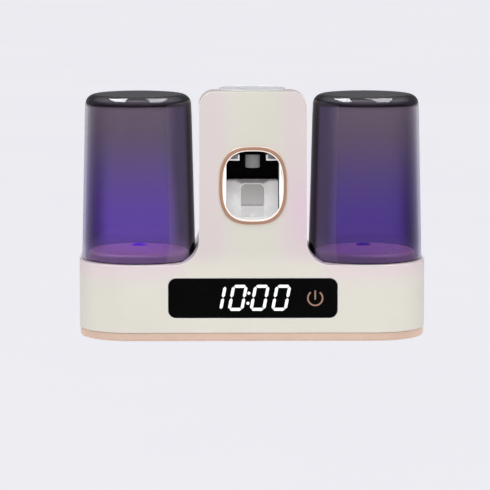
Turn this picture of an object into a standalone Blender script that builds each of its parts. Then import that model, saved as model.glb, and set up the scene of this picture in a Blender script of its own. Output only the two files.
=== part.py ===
"""Wall-mounted toothbrush sterilizer with two smoked cups and a toothpaste dispenser.

Units are metres, +Z is up and the front faces -Y. The world origin is the middle of
the adhesive pad's back face, on the wall. Pieces of the housing are drawn in the body
frame of the empty housing_datum: x to the right, y as depth behind the front face, and
z as height above the base.
"""
import math

import bmesh
import bpy
import numpy as np
from mathutils import Matrix

# Clearances and walls
GAP = 0.0003
WALL = 0.0024
SLIDE_CLEARANCE = 0.0005
PIN_CLEARANCE = 0.0003

# Cups
CUP_RIM_RADIUS = 0.0412
CUP_TOP_RADIUS = 0.0383
CUP_HEIGHT = 0.1192
CUP_CORNER = 0.0075
CUP_WALL = 0.0022
CUP_END = 0.0030
CUP_TO_COLUMN = 0.0025
CUP_TO_FRONT = 0.0018
CUP_TO_BACK = 0.0038
CUP_TO_SIDE = 0.0016
CUP_POCKET_CLEARANCE = 0.0010

# Housing, seen from the front: a wide tray with a column on its middle
COLUMN_WIDTH = 0.0770
COLUMN_CORNER = 0.0110
COLUMN_FILLET = 0.0175
COLUMN_CROWN_DROP = 0.0060
DECK_HEIGHT = 0.0548
FRONT_CORNER = 0.0366
REAR_CORNER = 0.0140
EDGE_ROUNDING = 0.0012
REAR_SHELL_DEPTH = 0.0080

# Base: rose trim band with the bottom cover inside it
TRIM_HEIGHT = 0.0060
TRIM_INSET = 0.0005
TRIM_BAND = 0.0024
TRIM_LEDGE = 0.0040
TRIM_ROUNDING = 0.0018
COVER_THICKNESS = 0.0024
COVER_RECESS = 0.0009

# Cup seats on the deck
SEAT_RADIUS = 0.0369
SEAT_RISE = 0.0066
SEAT_SHOULDER = 0.0030
SEAT_TOP_THICKNESS = 0.0024
SEAT_WALL = 0.0022
SEAT_FLANGE_WIDTH = 0.0031
SEAT_FLANGE_THICKNESS = 0.0015
SEAT_VENT_CIRCLE = 0.0220
SEAT_VENT_LENGTH = 0.0050
SEAT_VENT_WIDTH = 0.0024
SEAT_VENT_COUNT = 6
UV_LENS_RADIUS = 0.0055
UV_LENS_RISE = 0.0012
UV_LENS_FLANGE = 0.0015
UV_BOARD_LENGTH = 0.0300
UV_BOARD_WIDTH = 0.0140
UV_BOARD_THICKNESS = 0.0012

# Drying fans
FAN_SIZE = 0.0400
FAN_THICKNESS = 0.0100
FAN_CORNER = 0.0030
FAN_BORE_RADIUS = 0.0186
FAN_HOLE_PITCH = 0.0320
FAN_PEG_RADIUS = 0.0014
FAN_PEG_HEIGHT = 0.0040
FAN_HUB_RADIUS = 0.0090
FAN_PLATE = 0.0016
FAN_SPOKE_WIDTH = 0.0022
FAN_SPOKES = 4
FAN_BLADES = 7
FAN_BLADE_THICKNESS = 0.0009
FAN_BLADE_PITCH = 38.0
FAN_BLADE_TWIST = 12.0
FAN_BLADE_SWEEP = 14.0
FAN_SHAFT_RADIUS = 0.0010
FAN_RUNNING_GAP = 0.0006

# Brush chambers and the slots under them
BRUSH_PITCH = 0.0324
BRUSH_CENTRE_OFFSET = 0.0048
CHAMBER_INNER_MARGIN = 0.0168
CHAMBER_OUTER_MARGIN = 0.0123
CHAMBER_FRONT = 0.0100
CHAMBER_REAR_MARGIN = 0.0140
CHAMBER_CORNER = 0.0270
CHAMBER_SMALL_CORNER = 0.0050
CHAMBER_WALL = 0.0020
ENTRY_RADIUS = 0.0100
ENTRY_DEPTH = 0.0330
NECK_SLOT_WIDTH = 0.0070
NECK_SLOT_LENGTH = 0.0270
GRIP_WALL = 0.0012
GRIP_FLANGE_WIDTH = 0.0018
GRIP_FLANGE_THICKNESS = 0.0012
LAMP_BOARD_LENGTH = 0.0440
LAMP_BOARD_HEIGHT = 0.0140
LAMP_SIZE = 0.0035
LAMP_THICKNESS = 0.0012
LAMP_COUNT = 4

# Display
LENS_WIDTH = 0.1208
LENS_HEIGHT = 0.0284
LENS_CORNER = 0.0055
LENS_THICKNESS = 0.0012
LENS_LEDGE = 0.0070
LENS_BELOW_DECK = 0.0235
DIGIT_MODULE_WIDTH = 0.0660
DIGIT_MODULE_HEIGHT = 0.0180
DIGIT_MODULE_DEPTH = 0.0047
DIGIT_MODULE_SHIFT = 0.0012
BOARD_THICKNESS = 0.0016
DISPLAY_BOARD_HEIGHT = 0.0230
TOUCH_KEY_TO_LENS_END = 0.0159
TOUCH_SPRING_RADIUS = 0.0032
TOUCH_SPRING_TURNS = 5
SPRING_WIRE_RADIUS = 0.0003
POST_RADIUS = 0.0021

# Window and its ring
WINDOW_WIDTH = 0.0422
WINDOW_HEIGHT = 0.0495
WINDOW_ABOVE_DECK = 0.0573
WINDOW_POWER = 2.8
RING_BAND = 0.0034
RING_PROUD = 0.0013
RING_SLEEVE = 0.0010

# Dispenser behind the window
LEVER_WIDTH = 0.0370
LEVER_TOP_ABOVE_WINDOW_MIDDLE = 0.0019
LEVER_DEPTH = 0.0265
LEVER_THICKNESS = 0.0020
LEVER_CURVE_RADIUS = 0.0175
LEVER_CURVE_ABOVE_WINDOW = 0.0010
LEVER_CORNER_CHAMFER = 0.0030
LEVER_BARREL_RADIUS = 0.0025
LEVER_PANEL_WIDTH = 0.0164
LEVER_PANEL_HEIGHT = 0.0148
LEVER_PANEL_TOP_BELOW_EDGE = 0.0030
LEVER_PANEL_RECESS = 0.0008
LEVER_PANEL_TOP_CORNER = 0.0034
LEVER_PANEL_FOOT_CORNER = 0.0004
PIVOT_DEPTH = 0.0100
PIVOT_BELOW_WINDOW = 0.0026
PIN_RADIUS = 0.0012
CHEEK_THICKNESS = 0.0016
CHEEK_SIDE_GAP = 0.0004
CHEEK_FLARE = 0.0024
CHEEK_SETBACK = 0.0050
CEILING_ABOVE_WINDOW_MIDDLE = 0.0172
CEILING_THICKNESS = 0.0012
CEILING_NOTCH = 0.0190
CEILING_LIP = 0.0030
FRAME_FLOOR_THICKNESS = 0.0014
FRAME_EAR_LENGTH = 0.0100
FRAME_EAR_HEIGHT = 0.0090
FRAME_EAR_THICKNESS = 0.0020
FRAME_EAR_ROOT_SHARE = 0.6
FRAME_PIN_RADIUS = 0.0012
PUMP_FRONT = 0.0350
PUMP_DEPTH = 0.0225
PUMP_BOTTOM_BELOW_WINDOW_MIDDLE = 0.0200
PUMP_ARM_WIDTH = 0.0160
PUMP_ARM_HEIGHT = 0.0145
PUMP_ARM_STEP = 0.0005
PUMP_ARM_FRONT = 0.0115
PASTE_BORE_RADIUS = 0.0025
PASTE_CROSS_BORE_RADIUS = 0.0024
BLADDER_RADIUS = 0.0086
BLADDER_CAP_RADIUS = 0.0060
BLADDER_WALL = 0.0010
BLADDER_FLANGE = 0.0018
BLADDER_BELOW_WINDOW_MIDDLE = 0.0095
BLADDER_WELL_DEPTH = 0.0100
LEVER_SPRING_RADIUS = 0.0045
LEVER_SPRING_TURNS = 6
NOZZLE_RADIUS = 0.00525
NOZZLE_BORE_RADIUS = 0.0020
NOZZLE_DEPTH = 0.0190
NOZZLE_DROP = 0.0059

# Tube socket on top of the column
SOCKET_RADIUS = 0.0237
SOCKET_WALL = 0.0017
SOCKET_FLOOR = 0.0020
SOCKET_DEPTH = 0.0290
SOCKET_AXIS_DEPTH = 0.0380
SEAL_RADIUS = 0.0090
SEAL_THICKNESS = 0.0030

# Power
BATTERY_RADIUS = 0.0092
BATTERY_LENGTH = 0.0650
BATTERY_CAP_RADIUS = 0.0028
BATTERY_CAP_HEIGHT = 0.0010
BATTERY_SPACING = 0.0192
BATTERY_BOTTOM_ABOVE_DECK = 0.0115
HOLDER_WALL = 0.0012
HOLDER_BASE = 0.0027
HOLDER_LIP = 0.0080
MAIN_BOARD_WIDTH = 0.0800
MAIN_BOARD_HEIGHT = 0.0380
MAIN_BOARD_BOTTOM = 0.0080
MAIN_BOARD_TO_BACK = 0.0070
MAIN_BOARD_POSTS = (0.15, 0.85)
MAIN_BOARD_CHIPS = (
    # Middle across, middle up, width and height as shares of the board, then rise
    (0.200, 0.60, 0.12, 0.24, 0.0014),
    (0.550, 0.65, 0.10, 0.20, 0.0012),
    (0.775, 0.50, 0.07, 0.48, 0.0060),
    (0.400, 0.30, 0.06, 0.12, 0.0025),
)
USB_WIDTH = 0.0089
USB_THICKNESS = 0.0032
USB_LENGTH = 0.0073
USB_SHELL_WALL = 0.0003

# Screws and their bosses
SCREW_RADIUS = 0.0010
SCREW_LENGTH = 0.0100
SCREW_HEAD_RADIUS = 0.0025
SCREW_HEAD_HEIGHT = 0.0014
SCREW_CROWN_SHARE = 0.8
SCREW_RIM_SHARE = 0.6
SCREW_POINT_SHARE = 0.3
BOSS_RADIUS = 0.0034
REAR_BOSS_WALL = 0.0012
REAR_BOSS_LENGTH = 0.0220
REAR_BOSS_TO_SIDE = 0.0170
REAR_BOSS_TO_COLUMN_SIDE = 0.0076
REAR_BOSS_TO_TOP = 0.0152
RIB_BITE = 0.0005
BOTTOM_BOSS_TO_CHAMBER = 0.0080
BOTTOM_BOSS_FRONT = 0.0165
BOTTOM_BOSS_REAR_MARGIN = 0.0160

# Wall plate
PLATE_WIDTH = 0.0600
PLATE_HEIGHT = 0.0720
PLATE_THICKNESS = 0.0022
PLATE_CORNER = 0.0060
PAD_THICKNESS = 0.0009
PAD_MARGIN = 0.0020
HOUSING_TO_WALL = 0.0010
PAD_MIDDLE_HEIGHT = 0.1000
HOOK_WIDTH = 0.0060
HOOK_STEM = 0.0030
HOOK_LIP = 0.0060
HOOK_THICKNESS = 0.0020
HOOK_SPACING = 0.0540
HOOK_ABOVE_MIDDLE = 0.0200
LIFT_TRAVEL = 0.0090
PLATE_SCREW_SPACING = 0.0480
PLATE_SCREW_RADIUS = 0.0022

# Places that follow from the sizes above
CUP_X = COLUMN_WIDTH / 2 + CUP_TO_COLUMN + CUP_RIM_RADIUS
CUP_Y = CUP_TO_FRONT + CUP_RIM_RADIUS
BODY_WIDTH = 2 * (CUP_X + CUP_RIM_RADIUS + CUP_TO_SIDE)
BODY_DEPTH = CUP_Y + CUP_RIM_RADIUS + CUP_TO_BACK
SPLIT_DEPTH = BODY_DEPTH - REAR_SHELL_DEPTH
SHELL_BOTTOM = TRIM_HEIGHT + GAP
POCKET_RADIUS = CUP_RIM_RADIUS + CUP_POCKET_CLEARANCE
POCKET_LIFT = GAP / 3
COVER_TOP = COVER_RECESS + COVER_THICKNESS
LEDGE_BOTTOM = COVER_TOP + GAP
DECK_UNDERSIDE = DECK_HEIGHT - WALL - POCKET_LIFT
SEAT_FLANGE_TOP = DECK_UNDERSIDE - GAP
SEAT_FLANGE_BOTTOM = SEAT_FLANGE_TOP - SEAT_FLANGE_THICKNESS
FAN_TOP = SEAT_FLANGE_BOTTOM - GAP
FAN_BOTTOM = FAN_TOP - FAN_THICKNESS
CHAMBER_TOP = FAN_BOTTOM - GAP
CHAMBER_BOTTOM = COVER_TOP + GAP
BRUSH_X = CUP_X + BRUSH_CENTRE_OFFSET
CHAMBER_X0 = BRUSH_X - BRUSH_PITCH / 2 - CHAMBER_INNER_MARGIN
CHAMBER_X1 = BRUSH_X + BRUSH_PITCH / 2 + CHAMBER_OUTER_MARGIN
CHAMBER_Y1 = BODY_DEPTH - CHAMBER_REAR_MARGIN
WINDOW_Z = DECK_HEIGHT + WINDOW_ABOVE_DECK
WINDOW_BOTTOM = WINDOW_Z - WINDOW_HEIGHT / 2
PIVOT_Z = WINDOW_BOTTOM - PIVOT_BELOW_WINDOW
LEVER_TOP = WINDOW_Z + LEVER_TOP_ABOVE_WINDOW_MIDDLE
LEVER_BACK = LEVER_DEPTH + LEVER_THICKNESS
CHEEK_INNER = LEVER_WIDTH / 2 + CHEEK_SIDE_GAP
CHEEK_OUTER = CHEEK_INNER + CHEEK_THICKNESS
CEILING_Z = WINDOW_Z + CEILING_ABOVE_WINDOW_MIDDLE
PUMP_ARM_BOTTOM = CEILING_Z + CEILING_THICKNESS + CEILING_LIP - GAP
PUMP_TOP = PUMP_ARM_BOTTOM + PUMP_ARM_HEIGHT
PUMP_REAR = PUMP_FRONT + PUMP_DEPTH
SOCKET_BOTTOM = PUMP_TOP + GAP
BODY_HEIGHT = SOCKET_BOTTOM + SOCKET_FLOOR + SOCKET_DEPTH
LENS_Z = DECK_HEIGHT - LENS_BELOW_DECK
DISPLAY_BOARD_FRONT = WALL + GAP + DIGIT_MODULE_DEPTH
TOUCH_KEY_X = LENS_WIDTH / 2 - TOUCH_KEY_TO_LENS_END
REAR_INSIDE = BODY_DEPTH - WALL
RECESS_DEPTH = PLATE_THICKNESS + GAP + GAP
RECESS_FLOOR = BODY_DEPTH - RECESS_DEPTH
RECESS_INSIDE = RECESS_FLOOR - WALL
HOLDER_REAR = RECESS_INSIDE - GAP
BATTERY_Y = HOLDER_REAR - HOLDER_BASE - GAP - BATTERY_RADIUS
BATTERY_BOTTOM = DECK_HEIGHT + BATTERY_BOTTOM_ABOVE_DECK
REAR_BOSSES = (
    (BODY_WIDTH / 2 - REAR_BOSS_TO_SIDE, (CHAMBER_TOP + SEAT_FLANGE_BOTTOM) / 2),
    (COLUMN_WIDTH / 2 - REAR_BOSS_TO_COLUMN_SIDE, BODY_HEIGHT - REAR_BOSS_TO_TOP),
)
BOTTOM_BOSS_X = CHAMBER_X0 - BOTTOM_BOSS_TO_CHAMBER
BOTTOM_BOSS_Y = (BOTTOM_BOSS_FRONT, BODY_DEPTH - BOTTOM_BOSS_REAR_MARGIN)

SIDES = (("left", -1), ("right", 1))
FAR = 0.02
ROUND = 32
SMALL_ROUND = 12
TINY_ROUND = 8

CREAM = (0.72, 0.69, 0.60)
WHITE = (0.86, 0.86, 0.85)
ROSE = (0.72, 0.47, 0.35)
BLACK = (0.012, 0.012, 0.014)
GREY = (0.22, 0.22, 0.22)
SMOKE = (0.07, 0.05, 0.12)
FROST = (0.55, 0.52, 0.58)
BOARD_GREEN = (0.02, 0.16, 0.07)
STEEL = (0.60, 0.60, 0.62)
CELL_BLUE = (0.05, 0.16, 0.38)


def arc(centre_x, centre_y, radius, start, end, steps):
    """Points along an arc, angles in degrees, both ends included."""
    angles = np.radians(np.linspace(start, end, steps + 1))
    return [(centre_x + radius * math.cos(a), centre_y + radius * math.sin(a)) for a in angles]


def circle(centre_x, centre_y, radius, segments=SMALL_ROUND):
    """A closed circle, starting at its +X side."""
    return arc(centre_x, centre_y, radius, 0, 360, segments)[:-1]


def rounded_rectangle(x0, x1, y0, y1, radii, steps=4):
    """A rectangle with its own radius at each corner, from the x1 y0 corner anticlockwise."""
    if not isinstance(radii, tuple):
        radii = (radii,) * 4
    corners = ((x1, y0, -1, 1), (x1, y1, -1, -1), (x0, y1, 1, -1), (x0, y0, 1, 1))
    outline = []
    for index, (x, y, inward_x, inward_y) in enumerate(corners):
        radius = radii[index]
        start = -90 + 90 * index
        outline += arc(x + inward_x * radius, y + inward_y * radius, radius, start, start + 90, steps)
    return outline


def slot_outline(x0, x1, y0, y1, steps=4):
    """A slot from above: a rectangle with its short ends all but half round."""
    return rounded_rectangle(x0, x1, y0, y1, 0.49 * min(x1 - x0, y1 - y0), steps)


def superellipse(half_width, half_height, segments=36):
    """The window's outline: between an ellipse and a rectangle."""
    outline = []
    for angle in np.linspace(0, 2 * math.pi, segments, endpoint=False):
        c, s = math.cos(angle), math.sin(angle)
        x = half_width * math.copysign(abs(c) ** (2 / WINDOW_POWER), c)
        z = half_height * math.copysign(abs(s) ** (2 / WINDOW_POWER), s)
        outline.append((x, z))
    return outline


def keyhole(x, y, entry_radius, slot_half, slot_length, steps=12):
    """A round entry with a narrower slot running back from it to a round end."""
    meet = math.degrees(math.asin(slot_half / entry_radius))
    outline = arc(x, y, entry_radius, 90 + meet, 450 - meet, steps)
    return outline + arc(x, y + slot_length, slot_half, 0, 180, steps // 2)


def solid(points, faces):
    """An object from points and faces, with its faces turned outwards."""
    mesh = bpy.data.meshes.new("solid")
    mesh.from_pydata(points, [], faces)
    work = bmesh.new()
    work.from_mesh(mesh)
    bmesh.ops.recalc_face_normals(work, faces=work.faces)
    work.to_mesh(mesh)
    work.free()
    thing = bpy.data.objects.new("solid", mesh)
    bpy.context.scene.collection.objects.link(thing)
    return thing


def loft(rings, closed=False):
    """Joins equal rings of points, with flat ends or, when closed, last ring to first."""
    count = len(rings[0])
    points = [point for ring in rings for point in ring]
    faces = []
    for level in range(len(rings) if closed else len(rings) - 1):
        here = level * count
        there = (level + 1) % len(rings) * count
        for i in range(count):
            j = (i + 1) % count
            faces.append((here + i, here + j, there + j, there + i))
    if not closed:
        faces.append(tuple(range(count)))
        faces.append(tuple(range(len(points) - count, len(points))))
    return solid(points, faces)


def along(outline, place, axis):
    """Puts a flat outline at a place along X, Y or Z."""
    if axis == "z":
        return [(a, b, place) for a, b in outline]
    if axis == "y":
        return [(a, place, b) for a, b in outline]
    return [(place, a, b) for a, b in outline]


def prism(outline, low, high, axis="z"):
    """A straight extrusion of an outline between two places along an axis."""
    return loft([along(outline, low, axis), along(outline, high, axis)])


def block(x0, x1, y0, y1, z0, z1):
    """A rectangular block."""
    return prism([(x0, y0), (x1, y0), (x1, y1), (x0, y1)], z0, z1)


def rod(radius, low, high, axis="z", centre=(0.0, 0.0), segments=SMALL_ROUND):
    """A cylinder along an axis, its centre given in the other two coordinates."""
    return prism(circle(centre[0], centre[1], radius, segments), low, high, axis)


def revolve(profile, segments=ROUND, closed=False):
    """Turns a profile of radius and height about Z; an open one gets a flat disc at each end."""
    rings = []
    for radius, height in profile:
        rings.append([(x, y, height) for x, y in circle(0.0, 0.0, radius, segments)])
    return loft(rings, closed)


def coil(radius, start, end, turns, wire):
    """A compression spring along Z as a bevelled curve, its ends flat turns."""
    data = bpy.data.curves.new("coil", "CURVE")
    data.dimensions = "3D"
    data.bevel_depth = wire
    data.bevel_resolution = 1
    data.use_fill_caps = True
    steps = 10
    count = turns * steps + 1
    spline = data.splines.new("POLY")
    spline.points.add(count - 1)
    for i in range(count):
        angle = 2 * math.pi * i / steps
        height = start + wire + (end - start - 2 * wire) * i / (count - 1)
        spline.points[i].co = (radius * math.cos(angle), radius * math.sin(angle), height, 1.0)
    thing = bpy.data.objects.new("coil", data)
    bpy.context.scene.collection.objects.link(thing)
    return thing


def apply_modifiers(thing):
    """Replaces an object's mesh with its evaluated one."""
    graph = bpy.context.evaluated_depsgraph_get()
    mesh = bpy.data.meshes.new_from_object(thing.evaluated_get(graph))
    thing.modifiers.clear()
    thing.data = mesh
    return thing


def combine(target, tools, operation):
    """Booleans one or more solids into the target and removes them."""
    for tool in tools:
        modifier = target.modifiers.new("combine", "BOOLEAN")
        modifier.operation = operation
        modifier.solver = "EXACT"
        modifier.object = tool
        apply_modifiers(target)
        bpy.data.objects.remove(tool)
    return target


def join(target, *tools):
    """Union of the target and the tools."""
    return combine(target, tools, "UNION")


def cut(target, *tools):
    """The target less the tools."""
    return combine(target, tools, "DIFFERENCE")


def common(target, *tools):
    """What the target and the tools share."""
    return combine(target, tools, "INTERSECT")


def duplicate(thing):
    """A separate copy of a solid."""
    copy = bpy.data.objects.new("solid", thing.data.copy())
    bpy.context.scene.collection.objects.link(copy)
    return copy


def move(thing, x=0.0, y=0.0, z=0.0):
    """Moves a solid's mesh within its own frame."""
    thing.data.transform(Matrix.Translation((x, y, z)))
    return thing


def turn(thing, degrees, axis):
    """Turns a solid's mesh about its own origin."""
    thing.data.transform(Matrix.Rotation(math.radians(degrees), 4, axis))
    return thing


def round_edges(thing, width, segments, angle):
    """Rounds the edges sharper than an angle."""
    bevel = thing.modifiers.new("rounding", "BEVEL")
    bevel.width = width
    bevel.segments = segments
    bevel.limit_method = "ANGLE"
    bevel.angle_limit = math.radians(angle)
    return apply_modifiers(thing)


def make_material(name, colour, roughness, metallic=0.0):
    """A plain material for one piece."""
    material = bpy.data.materials.new(name)
    material.use_nodes = True
    shader = material.node_tree.nodes["Principled BSDF"]
    shader.inputs["Base Color"].default_value = (*colour, 1.0)
    shader.inputs["Roughness"].default_value = roughness
    shader.inputs["Metallic"].default_value = metallic
    material.diffuse_color = (*colour, 1.0)
    return material


def finish(thing, name, parent, colour, roughness, metallic=0.0, place=(0.0, 0.0, 0.0)):
    """Names a piece, hangs it on its parent, places it and gives it its material."""
    thing.name = name
    thing.data.name = name
    thing.parent = parent
    thing.location = place
    thing.data.materials.clear()
    thing.data.materials.append(make_material(name, colour, roughness, metallic))
    if thing.type == "MESH":
        thing.data.shade_smooth()
        thing.data.set_sharp_from_angle(angle=math.radians(35))
    return thing


def silhouette(inset, drop, low):
    """The housing from the front: column, fillets and deck, drawn wider than the plan."""
    column = COLUMN_WIDTH / 2 - inset
    deck = DECK_HEIGHT - inset
    top = BODY_HEIGHT - inset - drop
    corner = COLUMN_CORNER - inset
    fillet = COLUMN_FILLET + inset
    side = BODY_WIDTH / 2 + FAR
    right = [(side, low), (side, deck)]
    right += arc(column + fillet, deck + fillet, fillet, 270, 180, 5)
    right += arc(column - corner, top - corner, corner, 0, 90, 4)
    return right + [(-x, z) for x, z in reversed(right)]


def plan(inset):
    """The housing from above: large front corners and small rear ones."""
    half = BODY_WIDTH / 2 - inset
    front = FRONT_CORNER - inset
    rear = REAR_CORNER - inset
    return rounded_rectangle(-half, half, inset, BODY_DEPTH - inset, (front, rear, rear, front), 5)


def housing_form(inset):
    """The T-shaped form, its top falling towards the back, at an inset from the outside."""
    rings = []
    for y in np.linspace(-FAR / 4, BODY_DEPTH + FAR / 4, 5):
        drop = COLUMN_CROWN_DROP * (max(y, 0.0) / BODY_DEPTH) ** 2
        rings.append(along(silhouette(inset, drop, -FAR), y, "y"))
    form = loft(rings)
    return common(form, prism(plan(inset), -2 * FAR, BODY_HEIGHT + FAR))


def outer_form():
    """The outside of both shells: rounded edges, round pockets behind the fillets, flat foot."""
    form = round_edges(housing_form(0.0), EDGE_ROUNDING, 2, 40)
    for _, sign in SIDES:
        low = DECK_HEIGHT + POCKET_LIFT
        pocket = rod(POCKET_RADIUS, low, BODY_HEIGHT + FAR, "z", (sign * CUP_X, CUP_Y), ROUND)
        cut(form, pocket)
    return cut(form, block(-BODY_WIDTH, BODY_WIDTH, -FAR, BODY_DEPTH + FAR, -2 * FAR, SHELL_BOTTOM))


def inner_form():
    """The hollow of both shells, which keeps a wall round the cup pockets."""
    form = housing_form(WALL)
    for _, sign in SIDES:
        centre = (sign * CUP_X, CUP_Y)
        cut(form, rod(POCKET_RADIUS + WALL, DECK_UNDERSIDE, BODY_HEIGHT + FAR, "z", centre, ROUND))
    return form


def lens_outline(margin, corner_margin):
    """The display lens's outline, grown by a margin."""
    half_width = LENS_WIDTH / 2 + margin
    half_height = LENS_HEIGHT / 2 + margin
    corner = LENS_CORNER + corner_margin
    return rounded_rectangle(-half_width, half_width, LENS_Z - half_height, LENS_Z + half_height, corner)


def window_outline(margin):
    """The window's outline, grown by a margin."""
    outline = superellipse(WINDOW_WIDTH / 2 + margin, WINDOW_HEIGHT / 2 + margin)
    return [(x, WINDOW_Z + z) for x, z in outline]


def frame_pin_places():
    """Where the dispenser frame's ears sit on the front shell's pins."""
    x = CHEEK_OUTER + CHEEK_FLARE + FRAME_EAR_LENGTH / 2
    reach = WINDOW_HEIGHT / 2 - FRAME_EAR_HEIGHT / 2
    return [(sign * x, WINDOW_Z + up * reach) for _, sign in SIDES for up in (-1, 1)]


def build_front_shell(outer, inner, datum):
    """The moulded front: one T-shaped shell with its window, display recess and bosses."""
    shell = duplicate(outer)
    side = BODY_WIDTH
    cut(shell, block(-side, side, SPLIT_DEPTH - GAP / 2, BODY_DEPTH + FAR, -FAR, BODY_HEIGHT + FAR))
    cut(shell, duplicate(inner))
    pin_end = WALL + FRAME_EAR_THICKNESS + 2 * GAP
    for x, z in frame_pin_places():
        join(shell, rod(FRAME_PIN_RADIUS, WALL / 2, pin_end, "y", (x, z), TINY_ROUND))
    cut(shell, prism(window_outline(RING_SLEEVE + GAP), -FAR, WALL + GAP, "y"))
    cut(shell, prism(lens_outline(GAP, GAP), -FAR, LENS_THICKNESS + GAP, "y"))
    cut(shell, prism(lens_outline(GAP - LENS_LEDGE / 2, -LENS_LEDGE / 4), -FAR, WALL + GAP, "y"))
    socket_centre = (0.0, SOCKET_AXIS_DEPTH)
    cut(shell, rod(SOCKET_RADIUS + GAP, SOCKET_BOTTOM + FAR / 2, BODY_HEIGHT + FAR, "z", socket_centre, ROUND))
    boss_end = SPLIT_DEPTH - GAP / 2
    boss_start = boss_end - REAR_BOSS_LENGTH
    for _, sign in SIDES:
        seat_centre = (sign * CUP_X, CUP_Y)
        cut(shell, rod(SEAT_RADIUS + GAP, DECK_HEIGHT - FAR / 2, DECK_HEIGHT + FAR, "z", seat_centre, ROUND))
        for x, z in REAR_BOSSES:
            centre = (sign * x, z)
            wall_x = BODY_WIDTH / 2 if z < DECK_HEIGHT else COLUMN_WIDTH / 2
            reach = sorted((sign * x, sign * (wall_x - WALL + RIB_BITE)))
            rib = block(*reach, boss_start, boss_end, z - WALL / 2, z + WALL / 2)
            join(shell, rod(BOSS_RADIUS, boss_start, boss_end, "y", centre), rib)
            cut(shell, rod(SCREW_RADIUS, boss_end - SCREW_LENGTH, boss_end + FAR, "y", centre, TINY_ROUND))
        for y in BOTTOM_BOSS_Y:
            centre = (sign * BOTTOM_BOSS_X, y)
            join(shell, rod(BOSS_RADIUS, LEDGE_BOTTOM, DECK_HEIGHT - WALL / 2, "z", centre))
            cut(shell, rod(SCREW_RADIUS, -FAR, LEDGE_BOTTOM + SCREW_LENGTH, "z", centre, TINY_ROUND))
        post_centre = (sign * (LENS_WIDTH / 2 - LENS_LEDGE / 4 - POST_RADIUS / 2), LENS_Z)
        post_start = (WALL + LENS_THICKNESS) / 2
        join(shell, rod(POST_RADIUS, post_start, DISPLAY_BOARD_FRONT - GAP, "y", post_centre, TINY_ROUND))
    return finish(shell, "front_shell", datum, CREAM, 0.38)


def build_rear_shell(outer, inner, datum):
    """The shallow back cover, with the recess and slots that hang it on the wall plate."""
    shell = duplicate(outer)
    side = BODY_WIDTH
    cut(shell, block(-side, side, -FAR, SPLIT_DEPTH + GAP / 2, -FAR, BODY_HEIGHT + FAR))
    cut(shell, duplicate(inner))
    half = PLATE_WIDTH / 2 + SLIDE_CLEARANCE
    low = PAD_MIDDLE_HEIGHT - PLATE_HEIGHT / 2 - LIFT_TRAVEL - SLIDE_CLEARANCE
    high = PAD_MIDDLE_HEIGHT + PLATE_HEIGHT / 2 + SLIDE_CLEARANCE
    inside = REAR_INSIDE + WALL / 2
    join(shell, block(-half - WALL, half + WALL, RECESS_INSIDE, inside, low - WALL, high + WALL))
    recess = rounded_rectangle(-half, half, low, high, PLATE_CORNER)
    cut(shell, prism(recess, RECESS_FLOOR, BODY_DEPTH + FAR, "y"))
    slot_half = HOOK_WIDTH / 2 + SLIDE_CLEARANCE
    hook_z = PAD_MIDDLE_HEIGHT + HOOK_ABOVE_MIDDLE
    slot_low = hook_z - LIFT_TRAVEL - SLIDE_CLEARANCE
    slot_high = hook_z + HOOK_STEM + GAP
    start = SPLIT_DEPTH + GAP / 2
    post_start = main_board_rear() + GAP
    for _, sign in SIDES:
        x = sign * HOOK_SPACING / 2
        slot = block(x - slot_half, x + slot_half, RECESS_INSIDE - FAR / 4, BODY_DEPTH + FAR, slot_low, slot_high)
        cut(shell, slot)
        for boss_x, z in REAR_BOSSES:
            centre = (sign * boss_x, z)
            join(shell, rod(SCREW_HEAD_RADIUS + GAP + REAR_BOSS_WALL, start, inside, "y", centre))
            cut(shell, rod(SCREW_RADIUS + GAP, start - FAR, BODY_DEPTH + FAR, "y", centre, TINY_ROUND))
            cut(shell, rod(SCREW_HEAD_RADIUS + GAP, start + WALL, BODY_DEPTH + FAR, "y", centre))
        post_x = sign * (MAIN_BOARD_WIDTH / 2 - 2 * POST_RADIUS)
        for share in MAIN_BOARD_POSTS:
            centre = (post_x, MAIN_BOARD_BOTTOM + share * MAIN_BOARD_HEIGHT)
            join(shell, rod(POST_RADIUS, post_start, inside, "y", centre, TINY_ROUND))
    return finish(shell, "rear_shell", datum, CREAM, 0.42)


def build_base_trim(datum):
    """The rose band round the foot: a rounded outside and a ledge over the bottom cover."""
    rings = []
    for angle in np.radians(np.linspace(0, 90, 4)):
        inset = TRIM_INSET + TRIM_ROUNDING * (1 - math.sin(angle))
        rings.append(along(plan(inset), TRIM_ROUNDING * (1 - math.cos(angle)), "z"))
    rings.append(along(plan(TRIM_INSET), TRIM_HEIGHT, "z"))
    trim = loft(rings)
    cut(trim, prism(plan(TRIM_INSET + TRIM_BAND), -FAR, LEDGE_BOTTOM))
    cut(trim, prism(plan(TRIM_INSET + TRIM_BAND + TRIM_LEDGE), -FAR, FAR))
    return finish(trim, "base_trim", datum, ROSE, 0.28, 1.0)


def slot_places():
    """Where each brush slot stands: its liner's name and the x of its middle."""
    places = []
    for station, (_, sign) in enumerate(SIDES):
        for half, step in enumerate((-1, 1)):
            places.append((f"brush_grip_{2 * station + half + 1}", sign * BRUSH_X + step * BRUSH_PITCH / 2))
    return places


def usb_outline(margin):
    """The charging socket from below, grown by a margin; it lies on the front of the main board."""
    middle = main_board_rear() - BOARD_THICKNESS - GAP - USB_THICKNESS / 2
    half_width = USB_WIDTH / 2 + margin
    half_depth = USB_THICKNESS / 2 + margin
    return slot_outline(-half_width, half_width, middle - half_depth, middle + half_depth)


def main_board_rear():
    """Depth of the main board's back face, in front of the rear shell's posts."""
    return REAR_INSIDE - MAIN_BOARD_TO_BACK


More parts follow.
